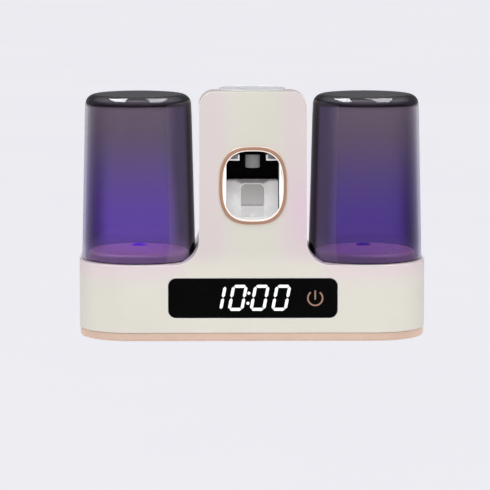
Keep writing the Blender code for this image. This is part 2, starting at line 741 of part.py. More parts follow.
def build_bottom_cover(datum):
    """The plate inside the trim, with four keyhole slots, the charging inlet and screw holes."""
    cover = prism(plan(TRIM_INSET + TRIM_BAND + GAP), COVER_RECESS, COVER_TOP)
    slot_half = NECK_SLOT_WIDTH / 2 + GRIP_WALL + GAP
    for _, x in slot_places():
        cut(cover, prism(keyhole(x, ENTRY_DEPTH, ENTRY_RADIUS, slot_half, NECK_SLOT_LENGTH), -FAR, FAR))
    cut(cover, prism(usb_outline(GAP), -FAR, FAR))
    head_top = COVER_RECESS + SCREW_HEAD_HEIGHT + GAP
    for _, sign in SIDES:
        for y in BOTTOM_BOSS_Y:
            centre = (sign * BOTTOM_BOSS_X, y)
            cut(cover, rod(SCREW_RADIUS + GAP, -FAR, FAR, "z", centre, TINY_ROUND))
            cut(cover, rod(SCREW_HEAD_RADIUS + GAP, -FAR, head_top, "z", centre))
    return finish(cover, "bottom_cover", datum, CREAM, 0.5)


def build_window_ring(datum):
    """The copper ring: a rounded flange on the front and a thin sleeve through the wall."""
    sections = (
        (RING_BAND, -GAP),
        (RING_BAND, -0.45 * RING_PROUD),
        (RING_BAND * 0.75, -0.95 * RING_PROUD),
        (RING_BAND * 0.35, -RING_PROUD),
        (0.0, -0.50 * RING_PROUD),
        (0.0, WALL),
        (RING_SLEEVE, WALL),
        (RING_SLEEVE, -GAP),
    )
    ring = loft([along(window_outline(margin), y, "y") for margin, y in sections], closed=True)
    return finish(ring, "window_ring", datum, ROSE, 0.25, 1.0)


def build_display(datum):
    """The black lens, the board with its digit module, and the touch key's spring."""
    lens = prism(lens_outline(0.0, 0.0), 0.0, LENS_THICKNESS, "y")
    finish(lens, "display_lens", datum, BLACK, 0.06)
    half = LENS_WIDTH / 2 - LENS_LEDGE / 4
    half_height = DISPLAY_BOARD_HEIGHT / 2
    front = DISPLAY_BOARD_FRONT
    board = block(-half, half, front, front + BOARD_THICKNESS, LENS_Z - half_height, LENS_Z + half_height)
    half_module = DIGIT_MODULE_WIDTH / 2
    module_height = DIGIT_MODULE_HEIGHT / 2
    left = DIGIT_MODULE_SHIFT - half_module
    right = DIGIT_MODULE_SHIFT + half_module
    bite = front + BOARD_THICKNESS / 2
    join(board, block(left, right, WALL + GAP, bite, LENS_Z - module_height, LENS_Z + module_height))
    finish(board, "display_board", datum, BOARD_GREEN, 0.5)
    start = LENS_THICKNESS + GAP
    spring = coil(TOUCH_SPRING_RADIUS, start, front - GAP, TOUCH_SPRING_TURNS, SPRING_WIRE_RADIUS)
    spring.rotation_euler = (math.radians(-90), 0.0, 0.0)
    finish(spring, "touch_spring", datum, STEEL, 0.3, 1.0, (TOUCH_KEY_X, 0.0, LENS_Z))


def seat_profile():
    """The cup seat from its middle outwards, height above the deck."""
    top = SEAT_RISE
    shoulder = SEAT_SHOULDER
    flange_top = SEAT_FLANGE_TOP - DECK_HEIGHT
    flange_bottom = SEAT_FLANGE_BOTTOM - DECK_HEIGHT
    inner = SEAT_RADIUS - SEAT_WALL
    profile = arc(SEAT_RADIUS - shoulder, top - shoulder, shoulder, 90, 0, 4)
    profile += [(SEAT_RADIUS, flange_top), (SEAT_RADIUS + SEAT_FLANGE_WIDTH, flange_top)]
    profile += [(SEAT_RADIUS + SEAT_FLANGE_WIDTH, flange_bottom), (inner, flange_bottom)]
    return profile + [(inner, top - SEAT_TOP_THICKNESS)]


def cup_profile():
    """The cup's wall: down its outside from the closed top, round the rim and up its inside."""
    slope = (CUP_RIM_RADIUS - CUP_TOP_RADIUS) / CUP_HEIGHT
    inner_corner = CUP_CORNER - CUP_WALL
    inner_top = CUP_HEIGHT - CUP_END
    profile = arc(CUP_TOP_RADIUS - CUP_CORNER, CUP_HEIGHT - CUP_CORNER, CUP_CORNER, 90, 0, 4)
    profile += [(CUP_RIM_RADIUS, 0.0), (CUP_RIM_RADIUS - CUP_WALL - slope * CUP_WALL, 0.0)]
    return profile + arc(CUP_TOP_RADIUS - CUP_CORNER, inner_top - inner_corner, inner_corner, 0, 90, 3)


def cup_station(side, sign, datum):
    """One cup with its seat, vents, ultraviolet lens and lamp board."""
    axis = bpy.data.objects.new(f"cup_axis_{side}", None)
    bpy.context.scene.collection.objects.link(axis)
    axis.parent = datum
    axis.location = (sign * CUP_X, CUP_Y, DECK_HEIGHT)

    cup = revolve(cup_profile())
    finish(cup, f"cup_{side}", axis, SMOKE, 0.05, place=(0.0, 0.0, GAP))

    seat = revolve(seat_profile())
    half = SEAT_VENT_LENGTH / 2
    inner = SEAT_VENT_CIRCLE - SEAT_VENT_WIDTH / 2
    for index in range(1, SEAT_VENT_COUNT):
        vent = prism(slot_outline(inner, inner + SEAT_VENT_WIDTH, -half, half, 2), 0.0, FAR)
        cut(seat, turn(vent, 360 * index / SEAT_VENT_COUNT + 90, "Z"))
    cut(seat, rod(UV_LENS_RADIUS + GAP, 0.0, FAR, "z", (0.0, SEAT_VENT_CIRCLE)))
    finish(seat, f"cup_seat_{side}", axis, FROST, 0.35)

    under = SEAT_RISE - SEAT_TOP_THICKNESS - GAP
    base = under - UV_LENS_FLANGE
    dome = [(0.35 * UV_LENS_RADIUS, SEAT_RISE + UV_LENS_RISE)]
    dome += [(0.75 * UV_LENS_RADIUS, SEAT_RISE + 0.8 * UV_LENS_RISE)]
    dome += [(UV_LENS_RADIUS, SEAT_RISE + 0.3 * UV_LENS_RISE), (UV_LENS_RADIUS, under)]
    dome += [(UV_LENS_RADIUS + UV_LENS_FLANGE, under), (UV_LENS_RADIUS + UV_LENS_FLANGE, base)]
    finish(revolve(dome, 20), f"uv_lens_{side}", axis, WHITE, 0.1, place=(0.0, SEAT_VENT_CIRCLE, 0.0))

    half = UV_BOARD_LENGTH / 2
    deep = UV_BOARD_WIDTH / 2
    top = base - GAP
    low = top - UV_BOARD_THICKNESS
    board = block(-half, half, SEAT_VENT_CIRCLE - deep, SEAT_VENT_CIRCLE + deep, low, top)
    finish(board, f"cup_uv_board_{side}", axis, BOARD_GREEN, 0.5)


def fan_frame():
    """A square fan frame with its round bore, corner holes, spokes and hub plate."""
    half = FAN_SIZE / 2
    frame = prism(rounded_rectangle(-half, half, -half, half, FAN_CORNER), 0.0, FAN_THICKNESS)
    cut(frame, rod(FAN_BORE_RADIUS, -FAR, FAR, segments=24))
    hub = rod(FAN_HUB_RADIUS, 0.0, FAN_PLATE)
    reach = (FAN_BORE_RADIUS + half) / 2
    wide = FAN_SPOKE_WIDTH / 2
    for index in range(FAN_SPOKES):
        spoke = block(0.0, reach, -wide, wide, 0.1 * FAN_PLATE, 0.9 * FAN_PLATE)
        join(hub, turn(spoke, 360 * index / FAN_SPOKES, "Z"))
    join(frame, hub)
    cut(frame, rod(FAN_SHAFT_RADIUS + GAP, -FAR, FAR, segments=TINY_ROUND))
    for x in (-1, 1):
        for y in (-1, 1):
            centre = (x * FAN_HOLE_PITCH / 2, y * FAN_HOLE_PITCH / 2)
            cut(frame, rod(FAN_PEG_RADIUS + GAP, -FAR, FAR, "z", centre, TINY_ROUND))
    return frame


def fan_blade(low, high):
    """One blade between two heights, twisted and swept from inside the hub to its tip."""
    root = 0.8 * (FAN_HUB_RADIUS - FAN_RUNNING_GAP)
    tip = FAN_BORE_RADIUS - FAN_RUNNING_GAP
    half_chord = (high - low - FAN_RUNNING_GAP) / 2 / math.sin(math.radians(FAN_BLADE_PITCH))
    half_thick = FAN_BLADE_THICKNESS / 2
    rings = []
    for share in (0.0, 0.5, 1.0):
        radius = root + (tip - root) * share
        pitch = math.radians(FAN_BLADE_PITCH - FAN_BLADE_TWIST * share)
        sweep = math.radians(FAN_BLADE_SWEEP * share)
        ring = []
        for chordwise, across in ((-1, -1), (1, -1), (1, 1), (-1, 1)):
            sideways = chordwise * half_chord * math.cos(pitch) - across * half_thick * math.sin(pitch)
            up = 0.9 * chordwise * half_chord * math.sin(pitch) + across * half_thick * math.cos(pitch)
            angle = sweep + 0.8 * sideways / radius
            ring.append((radius * math.cos(angle), radius * math.sin(angle), (low + high) / 2 + up))
        rings.append(ring)
    return loft(rings)


def fan_rotor():
    """The fan's hub and shaft with its ring of blades."""
    low = FAN_PLATE + GAP
    high = FAN_THICKNESS - FAN_RUNNING_GAP
    rotor = rod(FAN_HUB_RADIUS - FAN_RUNNING_GAP, low, high)
    join(rotor, rod(FAN_SHAFT_RADIUS, GAP, low + FAN_PLATE, segments=TINY_ROUND))
    for index in range(FAN_BLADES):
        join(rotor, turn(fan_blade(low, high), 360 * index / FAN_BLADES, "Z"))
    return rotor


def chamber_outline(inset):
    """The right brush chamber from above: its outer front corner follows the housing's."""
    small = CHAMBER_SMALL_CORNER - inset
    radii = (CHAMBER_CORNER - inset, small, small, small)
    x0 = CHAMBER_X0 + inset
    x1 = CHAMBER_X1 - inset
    return rounded_rectangle(x0, x1, CHAMBER_FRONT + inset, CHAMBER_Y1 - inset, radii, 6)


def brush_chamber(sign):
    """The box that the brush heads hang in: open below, with the fan's seat on its roof."""
    chamber = prism(chamber_outline(0.0), CHAMBER_BOTTOM, CHAMBER_TOP)
    roof = CHAMBER_TOP - CHAMBER_WALL
    cut(chamber, prism(chamber_outline(CHAMBER_WALL), -FAR, roof))
    cut(chamber, rod(FAN_BORE_RADIUS - CHAMBER_WALL, 0.0, CHAMBER_TOP + FAR, "z", (CUP_X, CUP_Y), ROUND))
    half = FAN_HOLE_PITCH / 2
    peg_top = CHAMBER_TOP + FAN_PEG_HEIGHT
    for x in (CUP_X - half, CUP_X + half):
        for y in (CUP_Y - half, CUP_Y + half):
            join(chamber, rod(FAN_PEG_RADIUS, roof + CHAMBER_WALL / 2, peg_top, "z", (x, y), TINY_ROUND))
    if sign < 0:
        chamber.data.transform(Matrix.Scale(-1, 4, (1, 0, 0)))
        chamber.data.flip_normals()
    return chamber


def brush_station(side, sign, datum):
    """One brush chamber with its lamp board and the drying fan on its roof."""
    finish(brush_chamber(sign), f"brush_chamber_{side}", datum, WHITE, 0.4)

    rear = CHAMBER_Y1 - CHAMBER_WALL - GAP
    front = rear - UV_BOARD_THICKNESS
    middle = sign * BRUSH_X
    half = LAMP_BOARD_LENGTH / 2
    low = (CHAMBER_BOTTOM + CHAMBER_TOP - LAMP_BOARD_HEIGHT) / 2
    board = block(middle - half, middle + half, front, rear, low, low + LAMP_BOARD_HEIGHT)
    z = low + LAMP_BOARD_HEIGHT / 2
    size = LAMP_SIZE / 2
    bite = front + UV_BOARD_THICKNESS / 2
    for index in range(LAMP_COUNT):
        x = middle + LAMP_BOARD_LENGTH * ((index + 0.5) / LAMP_COUNT - 0.5)
        join(board, block(x - size, x + size, front - LAMP_THICKNESS, bite, z - size, z + size))
    finish(board, f"brush_uv_board_{side}", datum, BOARD_GREEN, 0.5)

    spindle = bpy.data.objects.new(f"fan_axis_{side}", None)
    bpy.context.scene.collection.objects.link(spindle)
    spindle.parent = datum
    spindle.location = (sign * CUP_X, CUP_Y, FAN_BOTTOM)
    finish(fan_frame(), f"fan_frame_{side}", spindle, BLACK, 0.5)
    finish(fan_rotor(), f"fan_rotor_{side}", spindle, GREY, 0.45)


def tongue(x, start, end, half):
    """A strip along a neck slot with a round end at its back."""
    return [(x + half, start), *arc(x, end, half, 0, 180, 8), (x - half, start)]


def build_brush_grips(datum):
    """The soft liners in the four slots, which hold the brushes by their necks."""
    inner = NECK_SLOT_WIDTH / 2
    outer = inner + GRIP_WALL
    start = ENTRY_DEPTH + math.sqrt(ENTRY_RADIUS ** 2 - outer ** 2) + 2 * GAP
    end = ENTRY_DEPTH + NECK_SLOT_LENGTH
    low = COVER_TOP + GAP
    high = low + GRIP_FLANGE_THICKNESS
    for name, x in slot_places():
        grip = prism(tongue(x, start, end, outer), COVER_RECESS, (low + high) / 2)
        join(grip, prism(tongue(x, start, end, outer + GRIP_FLANGE_WIDTH), low, high))
        cut(grip, prism(tongue(x, start - FAR, end, inner), -FAR, FAR))
        finish(grip, name, datum, GREY, 0.8)


def lever_face(offset):
    """The lever's side view at an offset behind its front face: a plate that curves forward."""
    radius = LEVER_CURVE_RADIUS + offset
    centre_y = LEVER_DEPTH - LEVER_CURVE_RADIUS
    centre_z = WINDOW_BOTTOM + LEVER_CURVE_ABOVE_WINDOW + LEVER_CURVE_RADIUS
    return [(LEVER_DEPTH + offset, LEVER_TOP)] + arc(centre_y, centre_z, radius, 0, -84, 9)


def build_lever(datum):
    """The lever that the brush pushes: a scoop on a barrel, hinged on its pin at the bottom."""
    pivot = bpy.data.objects.new("lever_axis", None)
    bpy.context.scene.collection.objects.link(pivot)
    pivot.parent = datum
    pivot.location = (0.0, PIVOT_DEPTH, PIVOT_Z)

    half = LEVER_WIDTH / 2
    scoop = prism(lever_face(0.0) + list(reversed(lever_face(LEVER_THICKNESS))), -half, half, "x")
    inner = half - LEVER_CORNER_CHAMFER
    low = LEVER_TOP - LEVER_CORNER_CHAMFER
    far_x = half + FAR
    far_z = LEVER_TOP + FAR
    for sign in (-1, 1):
        corner = [(inner, far_z), (inner, LEVER_TOP), (half, low), (far_x, low), (far_x, far_z)]
        cut(scoop, prism([(sign * x, z) for x, z in corner], 0.0, 3 * FAR, "y"))
    top = LEVER_TOP - LEVER_PANEL_TOP_BELOW_EDGE
    wide = LEVER_PANEL_WIDTH / 2
    round_top = LEVER_PANEL_TOP_CORNER
    foot = LEVER_PANEL_FOOT_CORNER
    arch = rounded_rectangle(-wide, wide, top - LEVER_PANEL_HEIGHT, top, (foot, round_top, round_top, foot))
    skin = lever_face(-LEVER_THICKNESS) + list(reversed(lever_face(LEVER_PANEL_RECESS)))
    cut(scoop, common(prism(arch, 0.0, 3 * FAR, "y"), prism(skin, -half, half, "x")))
    barrel_half = half - GAP
    barrel = rod(LEVER_BARREL_RADIUS, -barrel_half, barrel_half, "x", (PIVOT_DEPTH, PIVOT_Z))
    foot_y, foot_z = lever_face(LEVER_THICKNESS / 2)[-1]
    reach = 0.6 * LEVER_BARREL_RADIUS
    side = [(foot_y - LEVER_THICKNESS / 2, foot_z), (PIVOT_DEPTH - reach, PIVOT_Z)]
    side += [(PIVOT_DEPTH + reach, PIVOT_Z), (foot_y + 1.5 * LEVER_THICKNESS, foot_z)]
    join(scoop, prism(side, GAP - barrel_half, barrel_half - GAP, "x"), barrel)
    cut(scoop, rod(PIN_RADIUS + PIN_CLEARANCE, -far_x, far_x, "x", (PIVOT_DEPTH, PIVOT_Z)))
    move(scoop, 0.0, -PIVOT_DEPTH, -PIVOT_Z)
    finish(scoop, "press_lever", pivot, WHITE, 0.3)

    pin_half = CHEEK_OUTER - GAP / 2
    finish(rod(PIN_RADIUS, -pin_half, pin_half, "x"), "lever_pin", pivot, STEEL, 0.25, 1.0)


def build_dispenser_frame(datum):
    """The white frame: tapering cheeks, floor, notched ceiling with lips, and four ears."""
    front = WALL + GAP
    set_back = front + CHEEK_SETBACK
    rear = PUMP_REAR
    low = PIVOT_Z - LEVER_BARREL_RADIUS - GAP - FRAME_FLOOR_THICKNESS
    high = PUMP_ARM_BOTTOM + PUMP_ARM_HEIGHT / 2
    wide = CHEEK_OUTER - GAP
    frame = block(-wide, wide, set_back, rear, low, low + FRAME_FLOOR_THICKNESS)
    flare = CHEEK_FLARE
    cheek = [(CHEEK_INNER + flare, front), (CHEEK_OUTER + flare, front), (CHEEK_OUTER, LEVER_DEPTH)]
    cheek += [(CHEEK_OUTER, rear), (CHEEK_INNER, rear), (CHEEK_INNER, LEVER_DEPTH)]
    notch = CEILING_NOTCH / 2
    shelf_end = PUMP_FRONT - GAP
    shelf_top = CEILING_Z + CEILING_THICKNESS
    for sign in (-1, 1):
        join(frame, prism([(sign * x, y) for x, y in cheek], low - GAP, high))
        reach = sorted((sign * notch, sign * (CHEEK_INNER + CHEEK_THICKNESS / 2)))
        ceiling = block(*reach, set_back, shelf_end, CEILING_Z, shelf_top)
        reach = sorted((sign * notch, sign * (notch + CEILING_THICKNESS)))
        lip = block(*reach, set_back, shelf_end, CEILING_Z + CEILING_THICKNESS / 2, shelf_top + CEILING_LIP)
        join(frame, join(ceiling, lip))
    recede = [(front - FAR, WINDOW_Z), (front, WINDOW_Z), (set_back, CEILING_Z)]
    recede += [(set_back, high + FAR), (front - FAR, high + FAR)]
    cut(frame, prism(recede, -wide - FAR, wide + FAR, "x"))
    ear_end = front + FRAME_EAR_THICKNESS
    half_ear = FRAME_EAR_HEIGHT / 2
    for x, z in frame_pin_places():
        sign = math.copysign(1.0, x)
        root = sign * (CHEEK_OUTER + FRAME_EAR_ROOT_SHARE * flare)
        reach = sorted((root, x + sign * FRAME_EAR_LENGTH / 2))
        ear = block(*reach, front, ear_end, z - half_ear, z + half_ear)
        if z > WINDOW_Z:
            reach = sorted((root - sign * CHEEK_THICKNESS, root + sign * flare))
            join(ear, block(*reach, front + GAP, set_back + CHEEK_SETBACK, z - half_ear + GAP, z))
        join(frame, ear)
        cut(frame, rod(FRAME_PIN_RADIUS + GAP, 0.0, ear_end + GAP, "y", (x, z), TINY_ROUND))
    cut(frame, rod(PIN_RADIUS + GAP, -FAR * 2, FAR * 2, "x", (PIVOT_DEPTH, PIVOT_Z)))
    return finish(frame, "dispenser_frame", datum, WHITE, 0.3)


def build_pump(datum):
    """The black pump block, its bladder and spring, the nozzle and the paste's path."""
    half = LEVER_WIDTH / 2
    low = WINDOW_Z - PUMP_BOTTOM_BELOW_WINDOW_MIDDLE
    bladder_z = WINDOW_Z - BLADDER_BELOW_WINDOW_MIDDLE
    body = block(-half, half, PUMP_FRONT, PUMP_REAR, low, PUMP_TOP)
    arm = PUMP_ARM_WIDTH / 2
    arm_top = PUMP_TOP - PUMP_ARM_STEP
    inside = PUMP_FRONT + PUMP_ARM_STEP
    slope = 0.3 * PUMP_ARM_HEIGHT
    side = [(PUMP_ARM_FRONT + slope, arm_top), (PUMP_ARM_FRONT, arm_top - slope)]
    side += [(PUMP_ARM_FRONT, PUMP_ARM_BOTTOM), (inside, PUMP_ARM_BOTTOM), (inside, arm_top)]
    join(body, prism(side, -arm, arm, "x"))
    paste_z = PUMP_ARM_BOTTOM + PUMP_ARM_HEIGHT / 2
    cross = PASTE_CROSS_BORE_RADIUS
    bore = rod(PASTE_BORE_RADIUS, NOZZLE_DEPTH, SOCKET_AXIS_DEPTH, "y", (0.0, paste_z), 16)
    join(bore, rod(cross, paste_z - GAP, PUMP_TOP + FAR, "z", (0.0, SOCKET_AXIS_DEPTH), 16))
    join(bore, rod(cross, PUMP_ARM_BOTTOM - FAR, paste_z + GAP, "z", (0.0, NOZZLE_DEPTH), 16))
    cut(body, bore)
    well = BLADDER_RADIUS - BLADDER_WALL
    cut(body, rod(well, PUMP_FRONT - FAR, PUMP_FRONT + BLADDER_WELL_DEPTH, "y", (0.0, bladder_z)))
    finish(body, "pump_body", datum, BLACK, 0.5)

    base = GAP
    reach = PUMP_FRONT - LEVER_BACK - GAP
    wall = BLADDER_WALL
    rim = BLADDER_RADIUS + BLADDER_FLANGE
    profile = [(BLADDER_CAP_RADIUS, reach), (BLADDER_RADIUS, base + wall), (rim, base + wall),
               (rim, base), (BLADDER_RADIUS - wall, base), (BLADDER_CAP_RADIUS - wall, reach - wall)]
    bladder = turn(revolve(profile, SMALL_ROUND), 90, "X")
    finish(bladder, "pump_bladder", datum, GREY, 0.7, place=(0.0, PUMP_FRONT, bladder_z))
    end = reach - wall - GAP
    start = GAP - BLADDER_WELL_DEPTH
    spring = coil(LEVER_SPRING_RADIUS, start, end, LEVER_SPRING_TURNS, SPRING_WIRE_RADIUS)
    spring.rotation_euler = (math.radians(90), 0.0, 0.0)
    finish(spring, "lever_spring", datum, STEEL, 0.3, 1.0, (0.0, PUMP_FRONT, bladder_z))

    top = PUMP_ARM_BOTTOM - GAP
    tip = CEILING_Z - NOZZLE_DROP
    nozzle = revolve([(NOZZLE_BORE_RADIUS, tip), (NOZZLE_RADIUS, tip), (NOZZLE_RADIUS, top),
                      (NOZZLE_BORE_RADIUS, top)], 20, closed=True)
    finish(nozzle, "nozzle", datum, GREY, 0.45, place=(0.0, NOZZLE_DEPTH, 0.0))


def build_tube_socket(datum):
    """The well that the toothpaste tube stands in, with the soft seal for its neck."""
    inner = SOCKET_RADIUS - SOCKET_WALL
    floor = SOCKET_BOTTOM + SOCKET_FLOOR
    lip = SOCKET_WALL / 3
    rounding = BODY_HEIGHT - lip
    profile = [(PASTE_BORE_RADIUS, SOCKET_BOTTOM), (SOCKET_RADIUS, SOCKET_BOTTOM), (SOCKET_RADIUS, rounding)]
    profile += [(SOCKET_RADIUS - lip, BODY_HEIGHT), (inner + lip, BODY_HEIGHT), (inner, rounding)]
    profile += [(inner, floor), (PASTE_BORE_RADIUS, floor)]
    socket = revolve(profile, ROUND, closed=True)
    finish(socket, "tube_socket", datum, WHITE, 0.35, place=(0.0, SOCKET_AXIS_DEPTH, 0.0))
    low = floor + GAP
    profile = [(PASTE_BORE_RADIUS, low), (SEAL_RADIUS, low), (SEAL_RADIUS, low + 0.5 * SEAL_THICKNESS)]
    profile += [(0.6 * SEAL_RADIUS, low + SEAL_THICKNESS), (PASTE_BORE_RADIUS, low + 0.6 * SEAL_THICKNESS)]
    seal = revolve(profile, SMALL_ROUND, closed=True)
    finish(seal, "inlet_seal", datum, GREY, 0.8, place=(0.0, SOCKET_AXIS_DEPTH, 0.0))


def build_power(datum):
    """The two cells in their holder, the main board and its charging socket."""
    for side, sign in SIDES:
        edge = BATTERY_RADIUS * 0.1
        top = BATTERY_LENGTH - BATTERY_CAP_HEIGHT
        profile = [(BATTERY_RADIUS - edge, 0.0), (BATTERY_RADIUS, edge), (BATTERY_RADIUS, top - edge)]
        profile += [(BATTERY_RADIUS - edge, top), (BATTERY_CAP_RADIUS, top), (BATTERY_CAP_RADIUS, BATTERY_LENGTH)]
        cell = revolve(profile, 16)
        place = (sign * BATTERY_SPACING / 2, BATTERY_Y, BATTERY_BOTTOM)
        finish(cell, f"battery_{side}", datum, CELL_BLUE, 0.35, place=place)

    half = BATTERY_SPACING / 2 + BATTERY_RADIUS + GAP + HOLDER_WALL
    base = HOLDER_REAR - HOLDER_BASE
    low = BATTERY_BOTTOM - GAP - HOLDER_WALL
    high = BATTERY_BOTTOM + BATTERY_LENGTH + GAP + HOLDER_WALL
    lip = base - HOLDER_LIP
    inner = half - HOLDER_WALL
    tray = [(-half, lip), (-inner, lip), (-inner, base), (inner, base)]
    tray += [(inner, lip), (half, lip), (half, HOLDER_REAR), (-half, HOLDER_REAR)]
    holder = prism(tray, low, high)
    wide = (inner + half) / 2
    front = BATTERY_Y - BATTERY_RADIUS / 2
    for z in (low, high - HOLDER_WALL):
        join(holder, block(-wide, wide, front, base + HOLDER_BASE / 2, z, z + HOLDER_WALL))
    finish(holder, "battery_holder", datum, BLACK, 0.6)

    rear = main_board_rear()
    front = rear - BOARD_THICKNESS
    half = MAIN_BOARD_WIDTH / 2
    board = block(-half, half, front, rear, MAIN_BOARD_BOTTOM, MAIN_BOARD_BOTTOM + MAIN_BOARD_HEIGHT)
    bite = front + BOARD_THICKNESS / 2
    for across, up, width, height, rise in MAIN_BOARD_CHIPS:
        x = MAIN_BOARD_WIDTH * (across - 0.5)
        z = MAIN_BOARD_BOTTOM + MAIN_BOARD_HEIGHT * up
        wide = MAIN_BOARD_WIDTH * width / 2
        tall = MAIN_BOARD_HEIGHT * height / 2
        join(board, block(x - wide, x + wide, front - rise, bite, z - tall, z + tall))
    finish(board, "main_board", datum, BOARD_GREEN, 0.5)

    mouth = COVER_RECESS + GAP
    socket = prism(usb_outline(0.0), mouth, mouth + USB_LENGTH)
    cut(socket, prism(usb_outline(-USB_SHELL_WALL), -FAR, mouth + 0.85 * USB_LENGTH))
    wide = 0.75 * USB_WIDTH / 2
    middle = front - GAP - USB_THICKNESS / 2
    blade = block(-wide, wide, middle - USB_SHELL_WALL, middle + USB_SHELL_WALL, mouth + 0.2 * USB_LENGTH,
                  mouth + 0.9 * USB_LENGTH)
    join(socket, blade)
    finish(socket, "usb_socket", datum, STEEL, 0.3, 1.0)


def screw():
    """A pan-head screw along Z: its head's underside at zero, its tip above."""
    head = SCREW_HEAD_RADIUS
    tip = SCREW_LENGTH - SCREW_RADIUS
    radius = SCREW_RADIUS - GAP / 3
    crown = (SCREW_CROWN_SHARE * head, -SCREW_HEAD_HEIGHT)
    profile = [crown, (head, -SCREW_RIM_SHARE * SCREW_HEAD_HEIGHT), (head, 0.0)]
    profile += [(radius, 0.0), (radius, tip), (SCREW_POINT_SHARE * radius, SCREW_LENGTH)]
    return revolve(profile, TINY_ROUND)


def build_screws(datum):
    """Four screws from the back through the rear shell, four from below through the cover."""
    number = 0
    seat = SPLIT_DEPTH + GAP / 2 + WALL + GAP
    for x, z in REAR_BOSSES:
        for _, sign in SIDES:
            number += 1
            place = (sign * x, seat, z)
            finish(turn(screw(), 90, "X"), f"rear_screw_{number}", datum, STEEL, 0.3, 1.0, place)
    number = 0
    for y in BOTTOM_BOSS_Y:
        for _, sign in SIDES:
            number += 1
            place = (sign * BOTTOM_BOSS_X, y, COVER_RECESS + SCREW_HEAD_HEIGHT)
            finish(screw(), f"bottom_screw_{number}", datum, STEEL, 0.3, 1.0, place)


def build_wall_plate():
    """The plate that stays on the wall, with two upturned hooks, and its adhesive pad."""
    half = PLATE_WIDTH / 2
    tall = PLATE_HEIGHT / 2
    rear = -PAD_THICKNESS - GAP
    front = rear - PLATE_THICKNESS
    plate = prism(rounded_rectangle(-half, half, -tall, tall, PLATE_CORNER), front, rear, "y")
    middle = (front + rear) / 2
    lip_rear = RECESS_INSIDE - BODY_DEPTH - HOUSING_TO_WALL - GAP
    lip_front = lip_rear - HOOK_THICKNESS
    base = HOOK_ABOVE_MIDDLE
    stem = base + HOOK_STEM
    tip = stem + HOOK_LIP
    hook = [(middle, base), (middle, stem), (lip_rear, stem)]
    hook += [(lip_rear, tip), (lip_front, tip), (lip_front, base)]
    for _, sign in SIDES:
        x = sign * HOOK_SPACING / 2
        join(plate, prism(hook, x - HOOK_WIDTH / 2, x + HOOK_WIDTH / 2, "x"))
    wide = half - PAD_MARGIN
    high = tall - PAD_MARGIN
    pad = prism(rounded_rectangle(-wide, wide, -high, high, PLATE_CORNER - PAD_MARGIN), -PAD_THICKNESS, 0.0, "y")
    for z in (-PLATE_SCREW_SPACING / 2, PLATE_SCREW_SPACING / 2):
        cut(plate, rod(PLATE_SCREW_RADIUS, -FAR, FAR, "y", (0.0, z)))
        cut(pad, rod(PLATE_SCREW_RADIUS, -FAR, FAR, "y", (0.0, z)))
    finish(plate, "wall_plate", None, WHITE, 0.45)
    finish(pad, "adhesive_pad", None, GREY, 0.9)


def main():
    """Builds every piece of the sterilizer."""
    for thing in list(bpy.data.objects):
        bpy.data.objects.remove(thing)
    datum = bpy.data.objects.new("housing_datum", None)
    bpy.context.scene.collection.objects.link(datum)
    datum.location = (0.0, -BODY_DEPTH - HOUSING_TO_WALL, -PAD_MIDDLE_HEIGHT)

    outer = outer_form()
    inner = inner_form()
    build_front_shell(outer, inner, datum)
    build_rear_shell(outer, inner, datum)
    bpy.data.objects.remove(outer)
    bpy.data.objects.remove(inner)
    build_base_trim(datum)
    build_bottom_cover(datum)
    build_window_ring(datum)
    build_display(datum)
    for side, sign in SIDES:
        cup_station(side, sign, datum)
        brush_station(side, sign, datum)
    build_brush_grips(datum)
    build_lever(datum)
    build_dispenser_frame(datum)
    build_pump(datum)
    build_tube_socket(datum)
    build_power(datum)
    build_screws(datum)
    build_wall_plate()


main()
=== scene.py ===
"""Looks of a wall-mounted toothbrush sterilizer with two smoked cups and a paste dispenser.

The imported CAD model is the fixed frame. Pieces that show are remade here as smooth surfaces at
the same sizes, and the others keep their CAD mesh with rounded edges. Lengths are metres. Each
piece is drawn in the housing's own frame: x to the right, y as depth behind the front face and
z as height above the base. mount() then shifts its mesh to the shared frame of the CAD model.
"""

import logging
import math
from dataclasses import dataclass
from enum import Enum

import bmesh
import bpy
import numpy as np
from mathutils import Matrix, Vector


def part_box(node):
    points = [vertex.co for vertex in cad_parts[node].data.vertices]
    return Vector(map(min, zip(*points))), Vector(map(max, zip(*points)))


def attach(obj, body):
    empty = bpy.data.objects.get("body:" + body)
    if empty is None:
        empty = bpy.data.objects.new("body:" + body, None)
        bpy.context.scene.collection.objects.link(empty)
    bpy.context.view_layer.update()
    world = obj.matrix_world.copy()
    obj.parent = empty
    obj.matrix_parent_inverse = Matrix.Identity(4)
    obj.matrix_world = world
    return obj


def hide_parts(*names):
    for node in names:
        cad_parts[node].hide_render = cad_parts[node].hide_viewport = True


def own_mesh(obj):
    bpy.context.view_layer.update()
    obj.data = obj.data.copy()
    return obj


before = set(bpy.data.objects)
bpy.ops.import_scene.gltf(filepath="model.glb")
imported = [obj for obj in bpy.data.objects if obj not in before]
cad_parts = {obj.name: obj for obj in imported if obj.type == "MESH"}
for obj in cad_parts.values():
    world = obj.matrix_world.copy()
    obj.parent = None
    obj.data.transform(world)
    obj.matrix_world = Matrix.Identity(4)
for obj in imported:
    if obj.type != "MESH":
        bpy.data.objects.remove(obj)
log = logging.getLogger("sterilizer")

Thing = bpy.types.Object
Socket = bpy.types.NodeSocket
Input = float | tuple | str | Socket | None
Pair = tuple[float, float]

MM = 0.001
FAR = 0.02
PAST_BACK = 0.2
PAST_TOP = 0.3
HOUSING_SHIFT = (0.0, -0.089, -0.100)
SHIFT = Vector(HOUSING_SHIFT)
EVEN = (1.0, 1.0, 1.0)
MIDDLE = (0.3, 0.7)


